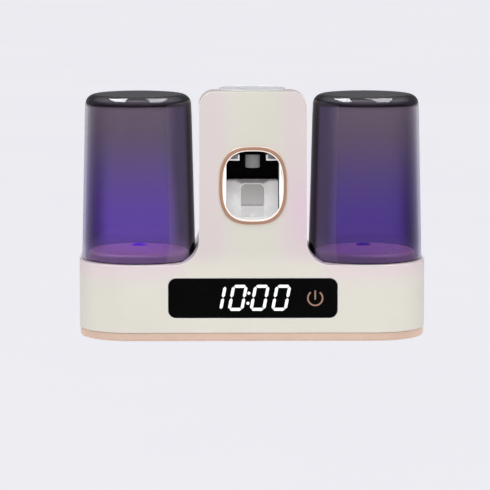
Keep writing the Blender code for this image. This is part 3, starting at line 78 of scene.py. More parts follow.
class Side(Enum):
    """The two halves of the unit, with the sign of their x."""

    LEFT = -1
    RIGHT = 1

    @property
    def label(self) -> str:
        """The word that ends the names of this side's nodes."""
        return self.name.lower()


class Axis(Enum):
    """The direction that a flat outline is carried along."""

    X = "x"
    Y = "y"
    Z = "z"


class Cut(Enum):
    """How a tool solid changes the solid it meets."""

    TAKE = "DIFFERENCE"
    ADD = "UNION"
    KEEP_SHARED = "INTERSECT"


@dataclass(frozen=True)
class Layout:
    """Sizes that several sub-assemblies share, as in the CAD source."""

    gap: float = 0.3 * MM
    wall: float = 2.4 * MM
    body_width: float = 250.0 * MM
    body_depth: float = 88.0 * MM
    body_height: float = 179.0 * MM
    column_width: float = 77.0 * MM
    deck: float = 54.8 * MM
    trim_height: float = 6.0 * MM
    rear_shell_depth: float = 8.0 * MM
    cup_x: float = 82.2 * MM
    cup_depth: float = 43.0 * MM
    front_corner: float = 36.6 * MM
    rear_corner: float = 14.0 * MM
    window_z: float = 112.1 * MM
    window_width: float = 42.2 * MM
    window_height: float = 49.5 * MM
    window_power: float = 2.8
    lens_z: float = 31.3 * MM
    lens_width: float = 120.8 * MM
    lens_height: float = 28.4 * MM
    lens_corner: float = 5.5 * MM
    lens_thickness: float = 1.2 * MM
    seat_radius: float = 36.9 * MM
    socket_depth: float = 38.0 * MM
    socket_radius: float = 23.7 * MM
    socket_bottom: float = 148.0 * MM

    @property
    def split(self) -> float:
        """Depth of the seam between the front and rear shells."""
        return self.body_depth - self.rear_shell_depth

    def plan(self, inset: float, steps: int = 24) -> np.ndarray:
        """The housing from above: a rectangle with large round front corners.

        Args:
            inset: How far the outline is drawn in from the outside.
            steps: Stretches in each corner's arc.

        Returns:
            The outline's points, x and depth.
        """
        half = self.body_width / 2 - inset
        front = self.front_corner - inset
        rear = self.rear_corner - inset
        radii = (front, rear, rear, front)
        return rounded_rectangle(-half, half, inset, self.body_depth - inset, radii, steps)

    def window(self, margin: float, segments: int = 144) -> np.ndarray:
        """The window's outline, a superellipse |x/a|^p + |z/b|^p = 1, grown by a margin.

        Args:
            margin: How much larger the outline is on every side.
            segments: Points round the outline.

        Returns:
            The outline's points, x and height.
        """
        angle = np.linspace(0, 2 * math.pi, segments, endpoint=False)
        power = 2 / self.window_power
        x = (self.window_width / 2 + margin) * np.sign(np.cos(angle)) * np.abs(np.cos(angle)) ** power
        z = (self.window_height / 2 + margin) * np.sign(np.sin(angle)) * np.abs(np.sin(angle)) ** power
        return np.column_stack([x, z + self.window_z])

    def lens(self, margin: float, steps: int = 10) -> np.ndarray:
        """The display lens's outline, a rounded rectangle grown by a margin.

        Args:
            margin: How much larger the outline is on every side.
            steps: Stretches in each corner's arc.

        Returns:
            The outline's points, x and height.
        """
        x = self.lens_width / 2 + margin
        z = self.lens_height / 2 + margin
        corner = self.lens_corner + margin
        return rounded_rectangle(-x, x, self.lens_z - z, self.lens_z + z, corner, steps)


LAYOUT = Layout()


# Outlines and surfaces


def arc(x: float, y: float, radius: float, start: float, end: float, steps: int) -> np.ndarray:
    """Points (x + r cos a, y + r sin a) for angles a between start and end.

    Args:
        x: Centre, first coordinate.
        y: Centre, second coordinate.
        radius: Radius of the arc.
        start: First angle in degrees.
        end: Last angle in degrees.
        steps: Stretches between the points.

    Returns:
        An array of steps + 1 points.
    """
    angle = np.radians(np.linspace(start, end, steps + 1))
    return np.column_stack([x + radius * np.cos(angle), y + radius * np.sin(angle)])


def rounded_rectangle(
    x0: float, x1: float, y0: float, y1: float, radii: float | tuple[float, ...], steps: int
) -> np.ndarray:
    """A rectangle whose corners are quarter arcs, from the x1 y0 corner anticlockwise.

    Args:
        x0: Lowest first coordinate.
        x1: Highest first coordinate.
        y0: Lowest second coordinate.
        y1: Highest second coordinate.
        radii: One radius, or one for each corner.
        steps: Stretches in each arc.

    Returns:
        The outline's points.
    """
    r = radii if isinstance(radii, tuple) else (radii,) * 4
    return np.vstack([
        arc(x1 - r[0], y0 + r[0], r[0], -90, 0, steps),
        arc(x1 - r[1], y1 - r[1], r[1], 0, 90, steps),
        arc(x0 + r[2], y1 - r[2], r[2], 90, 180, steps),
        arc(x0 + r[3], y0 + r[3], r[3], 180, 270, steps),
    ])


def lift(outline: np.ndarray, place: float | np.ndarray, axis: Axis) -> np.ndarray:
    """Stands a flat outline at a place along an axis.

    Args:
        outline: Points in the other two coordinates.
        place: The coordinate along the axis.
        axis: The axis that the outline is square to.

    Returns:
        One ring of points in space.
    """
    a, b = outline[:, 0], outline[:, 1]
    along = np.broadcast_to(place, a.shape)
    order = {Axis.X: (along, a, b), Axis.Y: (a, along, b), Axis.Z: (a, b, along)}
    return np.column_stack(order[axis])


@dataclass
class Skin:
    """A closed surface as arrays: its points, its faces' corners and each face's corner count."""

    points: np.ndarray
    corners: np.ndarray
    counts: np.ndarray


def skin(rings: np.ndarray, wrap: bool = False) -> Skin:
    """The surface P(i, j) over ring number i and place j round the ring.

    Its volume, the sum of P1 . (P2 x P3) over its triangles, tells whether the faces point
    inwards, and they are then turned round.

    Args:
        rings: Points as an array of rings, places and coordinates.
        wrap: Joins the last ring to the first; otherwise a flat face closes each end.

    Returns:
        The closed surface.
    """
    rings = np.asarray(rings, float)
    count, around = rings.shape[:2]
    i = np.arange(count if wrap else count - 1)[:, None] * around
    ahead = (i + around) % (count * around)
    j = np.arange(around)[None, :]
    beside = (j + 1) % around
    quads = np.stack([i + j, i + beside, ahead + beside, ahead + j], -1).reshape(-1, 4)
    points = rings.reshape(-1, 3)
    triangles = np.vstack([quads[:, [0, 1, 2]], quads[:, [0, 2, 3]]])
    corners = quads.ravel()
    counts = np.full(len(quads), 4)
    if not wrap:
        first = np.arange(around)[::-1]
        last = np.arange(around) + (count - 1) * around
        corners = np.concatenate([corners, first, last])
        counts = np.append(counts, [around, around])
        for cap in (first, last):
            fan = np.column_stack([np.full(around - 2, cap[0]), cap[1:-1], cap[2:]])
            triangles = np.vstack([triangles, fan])
    a, b, c = (points[triangles[:, k]] - points.mean(0) for k in range(3))
    if np.einsum("ij,ij->", a, np.cross(b, c)) < 0:
        corners = corners[::-1]
        counts = counts[::-1]
    return Skin(points, corners, counts)


def stand(name: str, data: bpy.types.ID) -> Thing:
    """Stands a mesh, light or camera in the scene as a new object.

    Args:
        name: The object's name.
        data: What it shows.

    Returns:
        The object.
    """
    thing = bpy.data.objects.new(name, data)
    bpy.context.scene.collection.objects.link(thing)
    return thing


def solid(*skins: Skin) -> Thing:
    """One object from one or more closed surfaces, with doubled points at poles merged.

    Args:
        skins: The surfaces.

    Returns:
        The new object, linked to the scene.
    """
    mesh = bpy.data.meshes.new("solid")
    points = np.vstack([s.points for s in skins])
    starts = np.cumsum([0] + [len(s.points) for s in skins[:-1]])
    corners = np.concatenate([s.corners + start for s, start in zip(skins, starts)])
    counts = np.concatenate([s.counts for s in skins])
    mesh.vertices.add(len(points))
    mesh.vertices.foreach_set("co", points.astype(np.float32).ravel())
    mesh.loops.add(len(corners))
    mesh.loops.foreach_set("vertex_index", corners.astype(np.int32))
    mesh.polygons.add(len(counts))
    mesh.polygons.foreach_set("loop_start", (np.cumsum(counts) - counts).astype(np.int32))
    mesh.polygons.foreach_set("loop_total", counts.astype(np.int32))
    mesh.update(calc_edges=True)
    work = bmesh.new()
    work.from_mesh(mesh)
    bmesh.ops.remove_doubles(work, verts=work.verts, dist=0.001 * MM)
    work.to_mesh(mesh)
    work.free()
    return stand("solid", mesh)


def loft(sections: list[tuple[np.ndarray, float]], axis: Axis, wrap: bool = False) -> Skin:
    """A surface through flat outlines that stand at places along an axis.

    Args:
        sections: Each outline with its place.
        axis: The axis that the outlines are square to.
        wrap: Joins the last outline to the first.

    Returns:
        The closed surface.
    """
    return skin(np.stack([lift(outline, place, axis) for outline, place in sections]), wrap)


def prism(outline: np.ndarray, low: float, high: float, axis: Axis = Axis.Z) -> Skin:
    """A straight extrusion of an outline between two places along an axis.

    Args:
        outline: The flat outline.
        low: Where it starts.
        high: Where it ends.
        axis: The axis it runs along.

    Returns:
        The closed surface.
    """
    return loft([(outline, low), (outline, high)], axis)


def box(x0: float, x1: float, y0: float, y1: float, z0: float, z1: float) -> Skin:
    """A rectangular tool solid between the corner coordinates.

    Args:
        x0: Lowest x.
        x1: Highest x.
        y0: Lowest y.
        y1: Highest y.
        z0: Lowest z.
        z1: Highest z.

    Returns:
        The closed surface.
    """
    return prism(np.array([(x0, y0), (x1, y0), (x1, y1), (x0, y1)]), z0, z1)


def turned(
    profile: np.ndarray,
    centre: tuple[float, float] = (0.0, 0.0),
    axis: Axis = Axis.Z,
    around: int = 96,
    wrap: bool = False,
) -> Skin:
    """A profile of radius r and place h turned about an axis: (r cos a, r sin a, h).

    Args:
        profile: Points of radius and place.
        centre: Where the axis stands, in the other two coordinates.
        axis: The axis of turning.
        around: Points round a full turn.
        wrap: Joins the profile's end to its start.

    Returns:
        The closed surface.
    """
    angle = np.linspace(0, 2 * math.pi, around, endpoint=False)
    circle = np.column_stack([np.cos(angle), np.sin(angle)])
    rings = [lift(circle * radius + centre, place, axis) for radius, place in np.asarray(profile)]
    return skin(np.stack(rings), wrap)


def rod(radius: float, low: float, high: float, axis: Axis, x: float, y: float, around: int = 64) -> Skin:
    """A round tool solid along an axis.

    Args:
        radius: Its radius.
        low: Where it starts.
        high: Where it ends.
        axis: The axis it runs along.
        x: Centre, the first of the other two coordinates.
        y: Centre, the second of them.
        around: Points round it.

    Returns:
        The closed surface.
    """
    return turned(np.array([(radius, low), (radius, high)]), (x, y), axis, around)


def coil(radius: float, wire: float, turns: float, start: np.ndarray, end: np.ndarray) -> Skin:
    """A spring: a circle of wire carried along a helix whose end turns lie flat.

    The helix is (r cos t, r sin t, h(t)), where h rises smoothly between the flat end turns.

    Args:
        radius: Radius of the helix.
        wire: Radius of the wire.
        turns: Number of turns, the flat ones included.
        start: Middle of the first turn.
        end: Middle of the last turn.

    Returns:
        The closed surface.
    """
    span = np.asarray(end, float) - start
    length = np.linalg.norm(span)
    up = span / length
    side = np.cross(up, (1.0, 0.0, 0.0))
    side /= np.linalg.norm(side)
    other = np.cross(up, side)
    share = np.linspace(0, 1, int(turns * 28) + 1)
    angle = 2 * math.pi * turns * share
    flat = 0.8 / turns
    rise = wire + (length - 2 * wire) * np.clip((share - flat) / (1 - 2 * flat), 0, 1)
    outward = np.cos(angle)[:, None] * side + np.sin(angle)[:, None] * other
    path = start + radius * outward + rise[:, None] * up
    turn = np.linspace(0, 2 * math.pi, 8, endpoint=False)
    rings = path[:, None, :] + wire * (
        np.cos(turn)[None, :, None] * outward[:, None, :] + np.sin(turn)[None, :, None] * up
    )
    return skin(rings)


# Solid work on objects


def bake(thing: Thing) -> Thing:
    """Replaces an object's mesh with the one that its modifiers give.

    Args:
        thing: The object.

    Returns:
        The same object.
    """
    graph = bpy.context.evaluated_depsgraph_get()
    mesh = bpy.data.meshes.new_from_object(thing.evaluated_get(graph))
    thing.modifiers.clear()
    thing.data = mesh
    return thing


def shape(
    thing: Thing, cut: Cut, *tools: Skin | Thing, tangled: bool = False
) -> Thing:
    """Takes tools from a solid, adds them, or keeps what they share.

    Args:
        thing: The solid to change.
        cut: What the tools do to it.
        tools: Tool surfaces or objects, which are used up.
        tangled: Whether the solid's rounded corners may cross each other.

    Returns:
        The changed solid.
    """
    for tool in tools:
        cutter = solid(tool) if isinstance(tool, Skin) else tool
        modifier = thing.modifiers.new("shape", "BOOLEAN")
        modifier.operation = cut.value
        modifier.solver = "EXACT"
        modifier.use_self = tangled
        modifier.object = cutter
        bake(thing)
        bpy.data.objects.remove(cutter)
    return thing


def bevel(thing: Thing, width: float, segments: int, angle: float) -> bpy.types.Modifier:
    """Adds a modifier that rounds edges sharper than an angle.

    Args:
        thing: The solid.
        width: Width of the rounding.
        segments: Faces across it.
        angle: The angle in degrees.

    Returns:
        The modifier.
    """
    modifier = thing.modifiers.new("rounding", "BEVEL")
    modifier.width = width
    modifier.segments = segments
    modifier.limit_method = "ANGLE"
    modifier.angle_limit = math.radians(angle)
    return modifier


def round_edges(thing: Thing, width: float, segments: int, angle: float) -> Thing:
    """The solid with its sharp edges rounded for good and arcs at its corners; see bevel."""
    bevel(thing, width, segments, angle).miter_outer = "MITER_ARC"
    return bake(thing)


def copy_of(thing: Thing) -> Thing:
    """A separate copy of a solid."""
    return stand("solid", thing.data.copy())


def points_of(thing: Thing) -> np.ndarray:
    """A solid's points, one row for each.

    Args:
        thing: The solid.

    Returns:
        An array of points and coordinates.
    """
    place = np.empty(len(thing.data.vertices) * 3)
    thing.data.vertices.foreach_get("co", place)
    return place.reshape(-1, 3)


def write(thing: Thing, name: str, values: np.ndarray) -> None:
    """Writes a number at each point of a solid, for its finish to read."""
    layer = thing.data.attributes.new(name, "FLOAT", "POINT")
    layer.data.foreach_set("value", values.astype(np.float32))


# Finishes


class Do(Enum):
    """The shader nodes in use, by what they do: the kind of node and its settings."""

    PLACE = ("TexCoord", {})
    SPLIT = ("SeparateXYZ", {})
    JOIN = ("CombineXYZ", {})
    MAP = ("Mapping", {})
    SURFACE = ("NewGeometry", {})
    EDGE_ON = ("LayerWeight", {})
    RAY = ("LightPath", {})
    READ = ("Attribute", {})
    NOISE = ("TexNoise", {})
    CELLS = ("TexVoronoi", {})
    BRICKS = ("TexBrick", {})
    BUMP = ("Bump", {})
    RANGE = ("MapRange", {})
    STEP = ("MapRange", {"interpolation_type": "SMOOTHSTEP"})
    BLEND = ("Mix", {"data_type": "RGBA"})
    TINT = ("Mix", {"data_type": "RGBA", "blend_type": "MULTIPLY"})
    CHOOSE = ("Mix", {"data_type": "FLOAT"})
    PLUS = ("Math", {"operation": "ADD"})
    MINUS = ("Math", {"operation": "SUBTRACT"})
    TIMES = ("Math", {"operation": "MULTIPLY"})
    OVER = ("Math", {"operation": "DIVIDE"})
    MOST = ("Math", {"operation": "MAXIMUM"})
    ABOVE = ("Math", {"operation": "GREATER_THAN"})
    BELOW = ("Math", {"operation": "LESS_THAN"})
    SIZE = ("Math", {"operation": "ABSOLUTE"})
    LENGTH = ("VectorMath", {"operation": "LENGTH"})
    OFFSET = ("VectorMath", {"operation": "SUBTRACT"})
    SCALE = ("VectorMath", {"operation": "MULTIPLY"})


def linear(code: str) -> tuple[float, float, float, float]:
    """An sRGB hex colour as linear red, green, blue and alpha.

    Args:
        code: Six hex digits after a hash sign.

    Returns:
        The colour with alpha 1.
    """
    srgb = np.array([int(code[k:k + 2], 16) for k in (1, 3, 5)]) / 255
    low = srgb / 12.92
    high = ((srgb + 0.055) / 1.055) ** 2.4
    return (*np.where(srgb <= 0.04045, low, high).tolist(), 1.0)


def feed(tree: bpy.types.NodeTree, socket: Socket, value: Input) -> None:
    """Sets or links one input of a node.

    Args:
        tree: The node tree.
        socket: The input.
        value: A number, a vector, a hex colour or the socket that feeds it; None leaves it.
    """
    if isinstance(value, Socket):
        tree.links.new(value, socket)
    elif value is not None:
        socket.default_value = linear(value) if isinstance(value, str) else value


def add_node(tree: bpy.types.NodeTree, do: Do, *inputs: Input, out: str = "", **settings: str) -> Socket:
    """Adds a node with its settings and links.

    Args:
        tree: The node tree.
        do: What the node does.
        inputs: What feed takes, in the order of the node's sockets. A sum with more than two
            of them becomes a chain of nodes.
        out: The output's name; without it, the first.
        settings: Further settings of the node.

    Returns:
        The output.
    """
    kind, usual = do.value
    if kind == "Math" and len(inputs) > 2:
        inputs = (add_node(tree, do, *inputs[:-1]), inputs[-1])
    node = tree.nodes.new("ShaderNode" + kind)
    for key, value in {**usual, **settings}.items():
        setattr(node, key, value)
    for socket, value in zip([socket for socket in node.inputs if socket.enabled], inputs):
        feed(tree, socket, value)
    return node.outputs[out] if out else next(socket for socket in node.outputs if socket.enabled)


class Paint:
    """The node tree of one material in the making, with its shader and its coordinates."""

    def __init__(self, name: str) -> None:
        """Starts a material with an empty Principled shader and Object coordinates.

        Args:
            name: The material's name.
        """
        self.material = bpy.data.materials.new(name)
        self.material.use_nodes = True
        self.tree = self.material.node_tree
        self.shader = self.tree.nodes["Principled BSDF"]
        self.place = self.add(Do.PLACE, out="Object")

    def add(self, do: Do, *inputs: Input, out: str = "", **settings: str) -> Socket:
        """Adds a node to this material; see add_node."""
        return add_node(self.tree, do, *inputs, out=out, **settings)

    def set(self, **values: Input) -> None:
        """Sets or feeds the shader's inputs, named with underscores for spaces.

        Args:
            values: What feed takes, for each input.
        """
        for key, value in values.items():
            feed(self.tree, self.shader.inputs[key.replace("_", " ")], value)


@dataclass(frozen=True)
class Finish:
    """What finishes share: a tint that drifts between two colours, uneven gloss and fine relief.

    A pattern is the size of its blotches in metres and its detail. One that is too fine to show,
    such as the 0.4 mm peel of a moulding, is drawn a few times as coarse. The slot is the
    record's material slot, and more holds further inputs of the shader.
    """

    name: str
    slot: str = ""
    colour: str = ""
    shade: str = ""
    roughness: float | Pair = (0.33, 0.39)
    drift: Pair = (38 * MM, 2.0)
    gloss: Pair = (9 * MM, 3.0)
    grain: Pair = (1.6 * MM, 1.0)
    relief: float = 0.012 * MM
    lines: tuple[float, float, float] = EVEN
    ior: float = 1.53
    metal: float = 0.0
    more: tuple = ()

    def tint(self, paint: Paint) -> Socket:
        """The colour: a slow drift between the two given tints.

        Args:
            paint: The material in the making.

        Returns:
            The base colour.
        """
        noise = paint.add(Do.NOISE, paint.place, 1 / self.drift[0], self.drift[1])
        tone = paint.add(Do.RANGE, noise, *MIDDLE, 0.0, 1.0)
        return paint.add(Do.BLEND, tone, self.colour, self.shade)

    def build(self) -> bpy.types.Material:
        """The material.

        Returns:
            The finished material.
        """
        paint = Paint(self.name)
        paint.set(IOR=self.ior, Metallic=self.metal, **dict(self.more))
        paint.set(Base_Color=self.tint(paint))
        even = self.lines == EVEN
        where = paint.place if even else paint.add(Do.MAP, paint.place, None, None, self.lines)
        rough = self.roughness
        if isinstance(rough, tuple):
            noise = paint.add(Do.NOISE, where, 1 / self.gloss[0], self.gloss[1])
            rough = paint.add(Do.RANGE, noise, *MIDDLE, *rough)
        paint.set(Roughness=rough)
        if self.relief:
            noise = paint.add(Do.NOISE, where, 1 / self.grain[0], self.grain[1])
            paint.set(Normal=paint.add(Do.BUMP, 1.0, self.relief, None, noise))
        return paint.material


@dataclass(frozen=True)
class MouldedPlastic(Finish):
    """Injection-moulded ABS and its like: an even tint, a faint orange peel, slight gloss drift."""


@dataclass(frozen=True)
class ShellPlastic(MouldedPlastic):
    """The front shell's cream ABS: pale where its rounded edges catch the light.

    The violet glow of the lit cups is painted into its colour: on the column's sides, most of all
    low on the right, and along the top of the tray. Painted shade makes the column above the tray
    a little darker. The pale edges are a painted highlight that also glows faintly, and a painted
    shadow in a dark colour lies on the walls of the cup pockets and the fillet just in front of them.
    """

    # Colour of the painted violet glow from the lit cups.
    painted_violet_glow: str = "#E5CCD8"
    # Colour of the painted highlight on the rounded edges.
    highlight: str = "#FFFFFC"
    # Colour of the painted shadow on the cup pocket walls.
    coat: str = "#141218"

    def tint(self, paint: Paint) -> Socket:
        """The colour from place and normal.

        Args:
            paint: The material in the making.

        Returns:
            The base colour.
        """
        add = paint.add
        x, y, z = add(Do.SPLIT, paint.place).node.outputs
        normal = add(Do.SPLIT, add(Do.SURFACE, out="Normal")).node.outputs
        across = add(Do.SIZE, x)
        flank = add(Do.SIZE, normal["Y"])
        base = HOUSING_SHIFT[2]
        deck = base + LAYOUT.deck
        # Painted violet glow from the lit cups: on the column's sides, low on the right, and along the top of
        # the tray.
        high = add(Do.STEP, z, base + 50 * MM, base + 68 * MM)
        sides = add(Do.TIMES, add(Do.STEP, across, 10 * MM, 30 * MM), high, 0.4)
        beside = add(Do.SIZE, add(Do.MINUS, z, base + 94 * MM))
        beside = add(Do.STEP, beside, 4 * MM, 40 * MM, 1.0, 0.0)
        right = add(Do.TIMES, add(Do.STEP, x, 16 * MM, 37 * MM), beside, 0.5)
        tray = add(Do.STEP, z, base + 36 * MM, base + 55 * MM)
        outward = add(Do.STEP, across, 40 * MM, 60 * MM)
        tray = add(Do.TIMES, tray, add(Do.MINUS, 1.0, high), outward, 0.55)
        violet = add(Do.PLUS, sides, right, tray)
        tint = add(Do.BLEND, violet, super().tint(paint), self.painted_violet_glow)
        # Painted shade: the column above the tray is 8% darker.
        tint = add(Do.TINT, high, tint, (0.92, 0.92, 0.92, 1.0))
        # Painted highlight, with a faint glow, on rounded edges that face up, or sideways beside the column,
        # and forward.
        column = add(Do.STEP, across, 80 * MM, 88 * MM, 1.0, 0.0)
        level = add(Do.JOIN, add(Do.TIMES, normal["X"], column), None, normal["Z"])
        edge = add(Do.STEP, add(Do.TIMES, flank, add(Do.LENGTH, level)), 0.27, 0.44)
        tint = add(Do.BLEND, edge, tint, self.highlight)
        paint.set(Emission_Color="#FFFDFB", Emission_Strength=add(Do.TIMES, edge, 0.22))
        # Painted shadow: the dark colour on the cup pocket walls and on the fillet surface just in front of
        # them.
        offset_x = add(Do.MINUS, across, LAYOUT.cup_x)
        offset_y = add(Do.MINUS, y, HOUSING_SHIFT[1] + LAYOUT.cup_depth)
        reach = add(Do.LENGTH, add(Do.JOIN, offset_x, offset_y))
        rim = add(Do.STEP, reach, 43.5 * MM, 43.2 * MM)
        lower = add(Do.STEP, z, deck + 12 * MM, deck + 11 * MM)
        rim = add(Do.TIMES, rim, add(Do.STEP, flank, 0.35, 0.2), lower)
        pocket_shadow = add(Do.MOST, add(Do.BELOW, reach, 42.26 * MM), rim)
        pocket_shadow = add(Do.TIMES, pocket_shadow, add(Do.ABOVE, z, deck + 0.5 * MM))
        return add(Do.BLEND, pocket_shadow, tint, self.coat)


@dataclass(frozen=True)
class MetallicLacquer(Finish):
    """Rose lacquer with fine metal flake on ABS: an even body colour with a soft metal shine.

    The flake of a real lacquer is some 30 micrometres across, so it is drawn coarser, as lines
    of slightly uneven shine. A ring's own attribute, margin, is its place across the band in
    millimetres, and a highlight is painted on its two edges: paler than its face, and on the inner
    edge also faintly glowing and less metallic.
    """

    roughness: float | Pair = (0.29, 0.39)
    drift: Pair = (16 * MM, 2.0)
    gloss: Pair = (3.2 * MM, 3.0)
    grain: Pair = (3.2 * MM, 3.0)
    relief: float = 0.006 * MM
    lines: tuple[float, float, float] = (1.0, 1.0, 9.0)
    ior: float = 1.5
    metal: float = 0.3
    band: float = 0.0

    def tint(self, paint: Paint) -> Socket:
        """The drifting tint, with a painted highlight on a ring's two edges.

        Args:
            paint: The material in the making.

        Returns:
            The base colour.
        """
        colour = super().tint(paint)
        if not self.band:
            return colour
        # Painted highlight: paler outer and inner edges of the ring; the inner one also glows faintly and is
        # less metallic.
        margin = paint.add(Do.READ, out="Fac", attribute_name="margin")
        outer = paint.add(Do.STEP, margin, self.band - 0.7, self.band - 0.2)
        inner = paint.add(Do.STEP, margin, 0.85, 0.3)
        paint.set(
            Metallic=paint.add(Do.TIMES, paint.add(Do.MINUS, 1.0, inner), self.metal),
            Emission_Color="#FFF0E4",
            Emission_Strength=paint.add(Do.TIMES, inner, 0.3),
        )
        colour = paint.add(Do.BLEND, outer, colour, "#FFE9DA")
        return paint.add(Do.BLEND, inner, colour, "#FFF3EA")


@dataclass(frozen=True)
class TranslucentScoop(Finish):
    """Thin white polypropylene, with painted shade towards its top and on its panel.

    The piece's own attribute, relief, is 1 in the sunk panel, which is painted grey as shade, and
    -1 on the raised rim, which is painted whiter as a highlight.
    """

    roughness: float | Pair = (0.2, 0.3)
    gloss: Pair = (7 * MM, 2.0)
    relief: float = 0.01 * MM
    ior: float = 1.49
    more: tuple = (
        ("Subsurface_Weight", 0.1), ("Subsurface_Radius", (1.0, 1.0, 1.0)), ("Subsurface_Scale", 1.0 * MM),
    )
    top: float = 0.0
    panel_foot: float = 0.0

    def tint(self, paint: Paint) -> Socket:
        """White, with painted shade at the top, under the panel, along the panel's foot and on the sunk panel,
        and a painted highlight on the raised rim.

        Args:
            paint: The material in the making.

        Returns:
            The base colour.
        """
        add = paint.add
        x, _, height = add(Do.SPLIT, paint.place).node.outputs
        relief = add(Do.READ, out="Fac", attribute_name="relief")
        across = add(Do.SIZE, x)
        under = self.top - self.panel_foot
        # Painted shade: darker towards the top, less so on the right, a shadow band under the top edge, a grey
        # strip under the panel and a dark line along the panel's foot.
        right = add(Do.TIMES, add(Do.STEP, x, 6 * MM, 14 * MM), 0.45)
        fall = add(Do.STEP, height, self.top - 21 * MM, self.top - 1 * MM)
        fall = add(Do.TIMES, fall, add(Do.MINUS, 1.0, right))
        start = add(Do.TIMES, add(Do.STEP, across, 7 * MM, 13 * MM), 1.9 * MM)
        start = add(Do.PLUS, start, self.top - 4.4 * MM)
        shadow = add(Do.OVER, add(Do.MINUS, height, start), 2.6 * MM)
        strip = add(Do.STEP, height, under - 11 * MM, under - 1 * MM)
        below = add(Do.STEP, height, under, under + 0.5 * MM, 1.0, 0.0)
        strip = add(Do.TIMES, strip, add(Do.STEP, across, 8.6 * MM, 7.8 * MM), below, 0.3)
        crease = add(Do.SIZE, add(Do.MINUS, height, under + 0.2 * MM))
        crease = add(Do.STEP, crease, 0.7 * MM, 0.1 * MM)
        crease = add(Do.TIMES, crease, add(Do.STEP, across, 8.4 * MM, 7.6 * MM), 0.5)
        layers = (
            (fall, "#D0CCCB"),
            (add(Do.STEP, shadow, 0.0, 1.0), "#7E7C7B"),
            (strip, "#A9A5A4"),
            (crease, "#6F6B6A"),
            # Painted shade on the sunk panel, and a painted highlight on the raised rim.
            (add(Do.TIMES, add(Do.STEP, relief, 0.1, 1.0), 0.6), "#8A8685"),
            (add(Do.TIMES, add(Do.STEP, relief, -0.15, -0.9), 0.75), "#F4F2F2"),
        )
        body = "#FFFFFF"
        for share, colour in layers:
            body = add(Do.BLEND, share, body, colour)
        return body


@dataclass(frozen=True)
class BlackGlass(Finish):
    """Back-painted display glass: deep black under a polished face with hardly any waviness."""

    roughness: float | Pair = (0.03, 0.06)
    drift: Pair = (24 * MM, 2.0)
    gloss: Pair = (6 * MM, 3.0)
    grain: Pair = (14 * MM, 1.0)
    relief: float = 0.004 * MM
    ior: float = 1.5


@dataclass(frozen=True)
class SmokedClear(Finish):
    """Clear moulded acrylic with a smoke tint, lit from its foot by an ultraviolet lamp.

    The smoke is paler towards the closed top. Painted shade darkens it towards the column, whose
    side is given as the sign of x, and ends there in a nearly black strip; it also darkens the
    outer side, more so lower down, and the closed top, and draws a dark contact line at the rim.
    A pale outermost band is painted where the wall is seen edge on. The lamp's light is painted on
    as a violet glow, strongest a quarter of the way up and fading towards the closed top, with a
    fainter painted glow on the side towards the column.
    """

    roughness: float | Pair = (0.015, 0.035)
    gloss: Pair = (20 * MM, 2.0)
    relief: float = 0.0
    ior: float = 1.49
    more: tuple = (("Transmission_Weight", 1.0),)
    foot: float = 0.0
    top: float = 0.0
    middle: float = 0.0
    radius: float = 0.0
    column: float = 0.0
    glow: float = 0.0

    def tint(self, paint: Paint) -> Socket:
        """The smoke's colour by height and side, with its painted shade and the painted glow that goes with it.

        Args:
            paint: The material in the making.

        Returns:
            The base colour.
        """
        add = paint.add
        x, _, height = add(Do.SPLIT, paint.place).node.outputs
        foot, top, span = self.foot, self.top, self.top - self.foot
        # Paler towards the top; then painted shade towards the column, on the outer side and under the closed
        # top, a nearly black strip at the column, a dark contact line at the rim, and a pale band painted where
        # the wall is seen edge on.
        rise = add(Do.STEP, height, foot + 0.10 * span, foot + 0.98 * span)
        wide = add(Do.RANGE, height, foot, top, self.radius, 0.93 * self.radius)
        toward = add(Do.OVER, add(Do.TIMES, add(Do.MINUS, x, self.middle), self.column), wide)
        dark_side = add(Do.STEP, toward, 0.45, 0.84)
        outer = add(Do.MINUS, 0.8, add(Do.TIMES, rise, 0.64))
        edge = add(Do.MOST, dark_side, add(Do.TIMES, add(Do.STEP, toward, -0.5, -0.86), outer))
        low = add(Do.STEP, height, foot + 6 * MM, foot + 15 * MM)
        cap = add(Do.STEP, height, top - 9.5 * MM, top - 5 * MM)
        strip = add(Do.STEP, toward, 0.87, 0.91)
        ring = add(Do.STEP, height, foot + 1.0 * MM, foot + 0.5 * MM)
        layers = (
            (rise, "#B4AAB6"),
            (add(Do.TIMES, edge, low), "#6C6478"),
            (add(Do.TIMES, cap, 0.8), "#5E5868"),
            (add(Do.STEP, add(Do.EDGE_ON, 0.5, out="Facing"), 0.62, 0.74), "#CFC8D8"),
            (add(Do.MOST, strip, ring), "#060608"),
        )
        smoke = self.colour
        for share, colour in layers:
            smoke = add(Do.BLEND, share, smoke, colour)
        # Painted glow: the lamp's violet light on the wall, and a faint glow on the side towards the column.
        start = add(Do.STEP, height, foot - 0.06 * span, foot + 0.22 * span)
        fade = add(Do.STEP, height, foot + 0.18 * span, foot + 0.86 * span, 1.0, 0.0)
        clear = add(Do.MINUS, 1.0, add(Do.TIMES, edge, 0.85))
        drawn = add(Do.MAP, paint.place, None, None, (1.0, 1.0, 0.06))
        streak = add(Do.RANGE, add(Do.NOISE, drawn, 1 / (12 * MM)), *MIDDLE, 0.94, 1.06)
        off_strip = add(Do.MINUS, 1.0, strip)
        shine = add(Do.TIMES, start, fade, clear, off_strip, streak, self.glow)
        painted_side_glow = add(Do.TIMES, dark_side, add(Do.MINUS, 1.0, add(Do.MOST, strip, cap)), 0.031)
        paint.set(
            Emission_Color=add(Do.BLEND, dark_side, "#7C4EFF", "#D7C3FF"),
            Emission_Strength=add(Do.MOST, shine, painted_side_glow),
        )
        return smoke


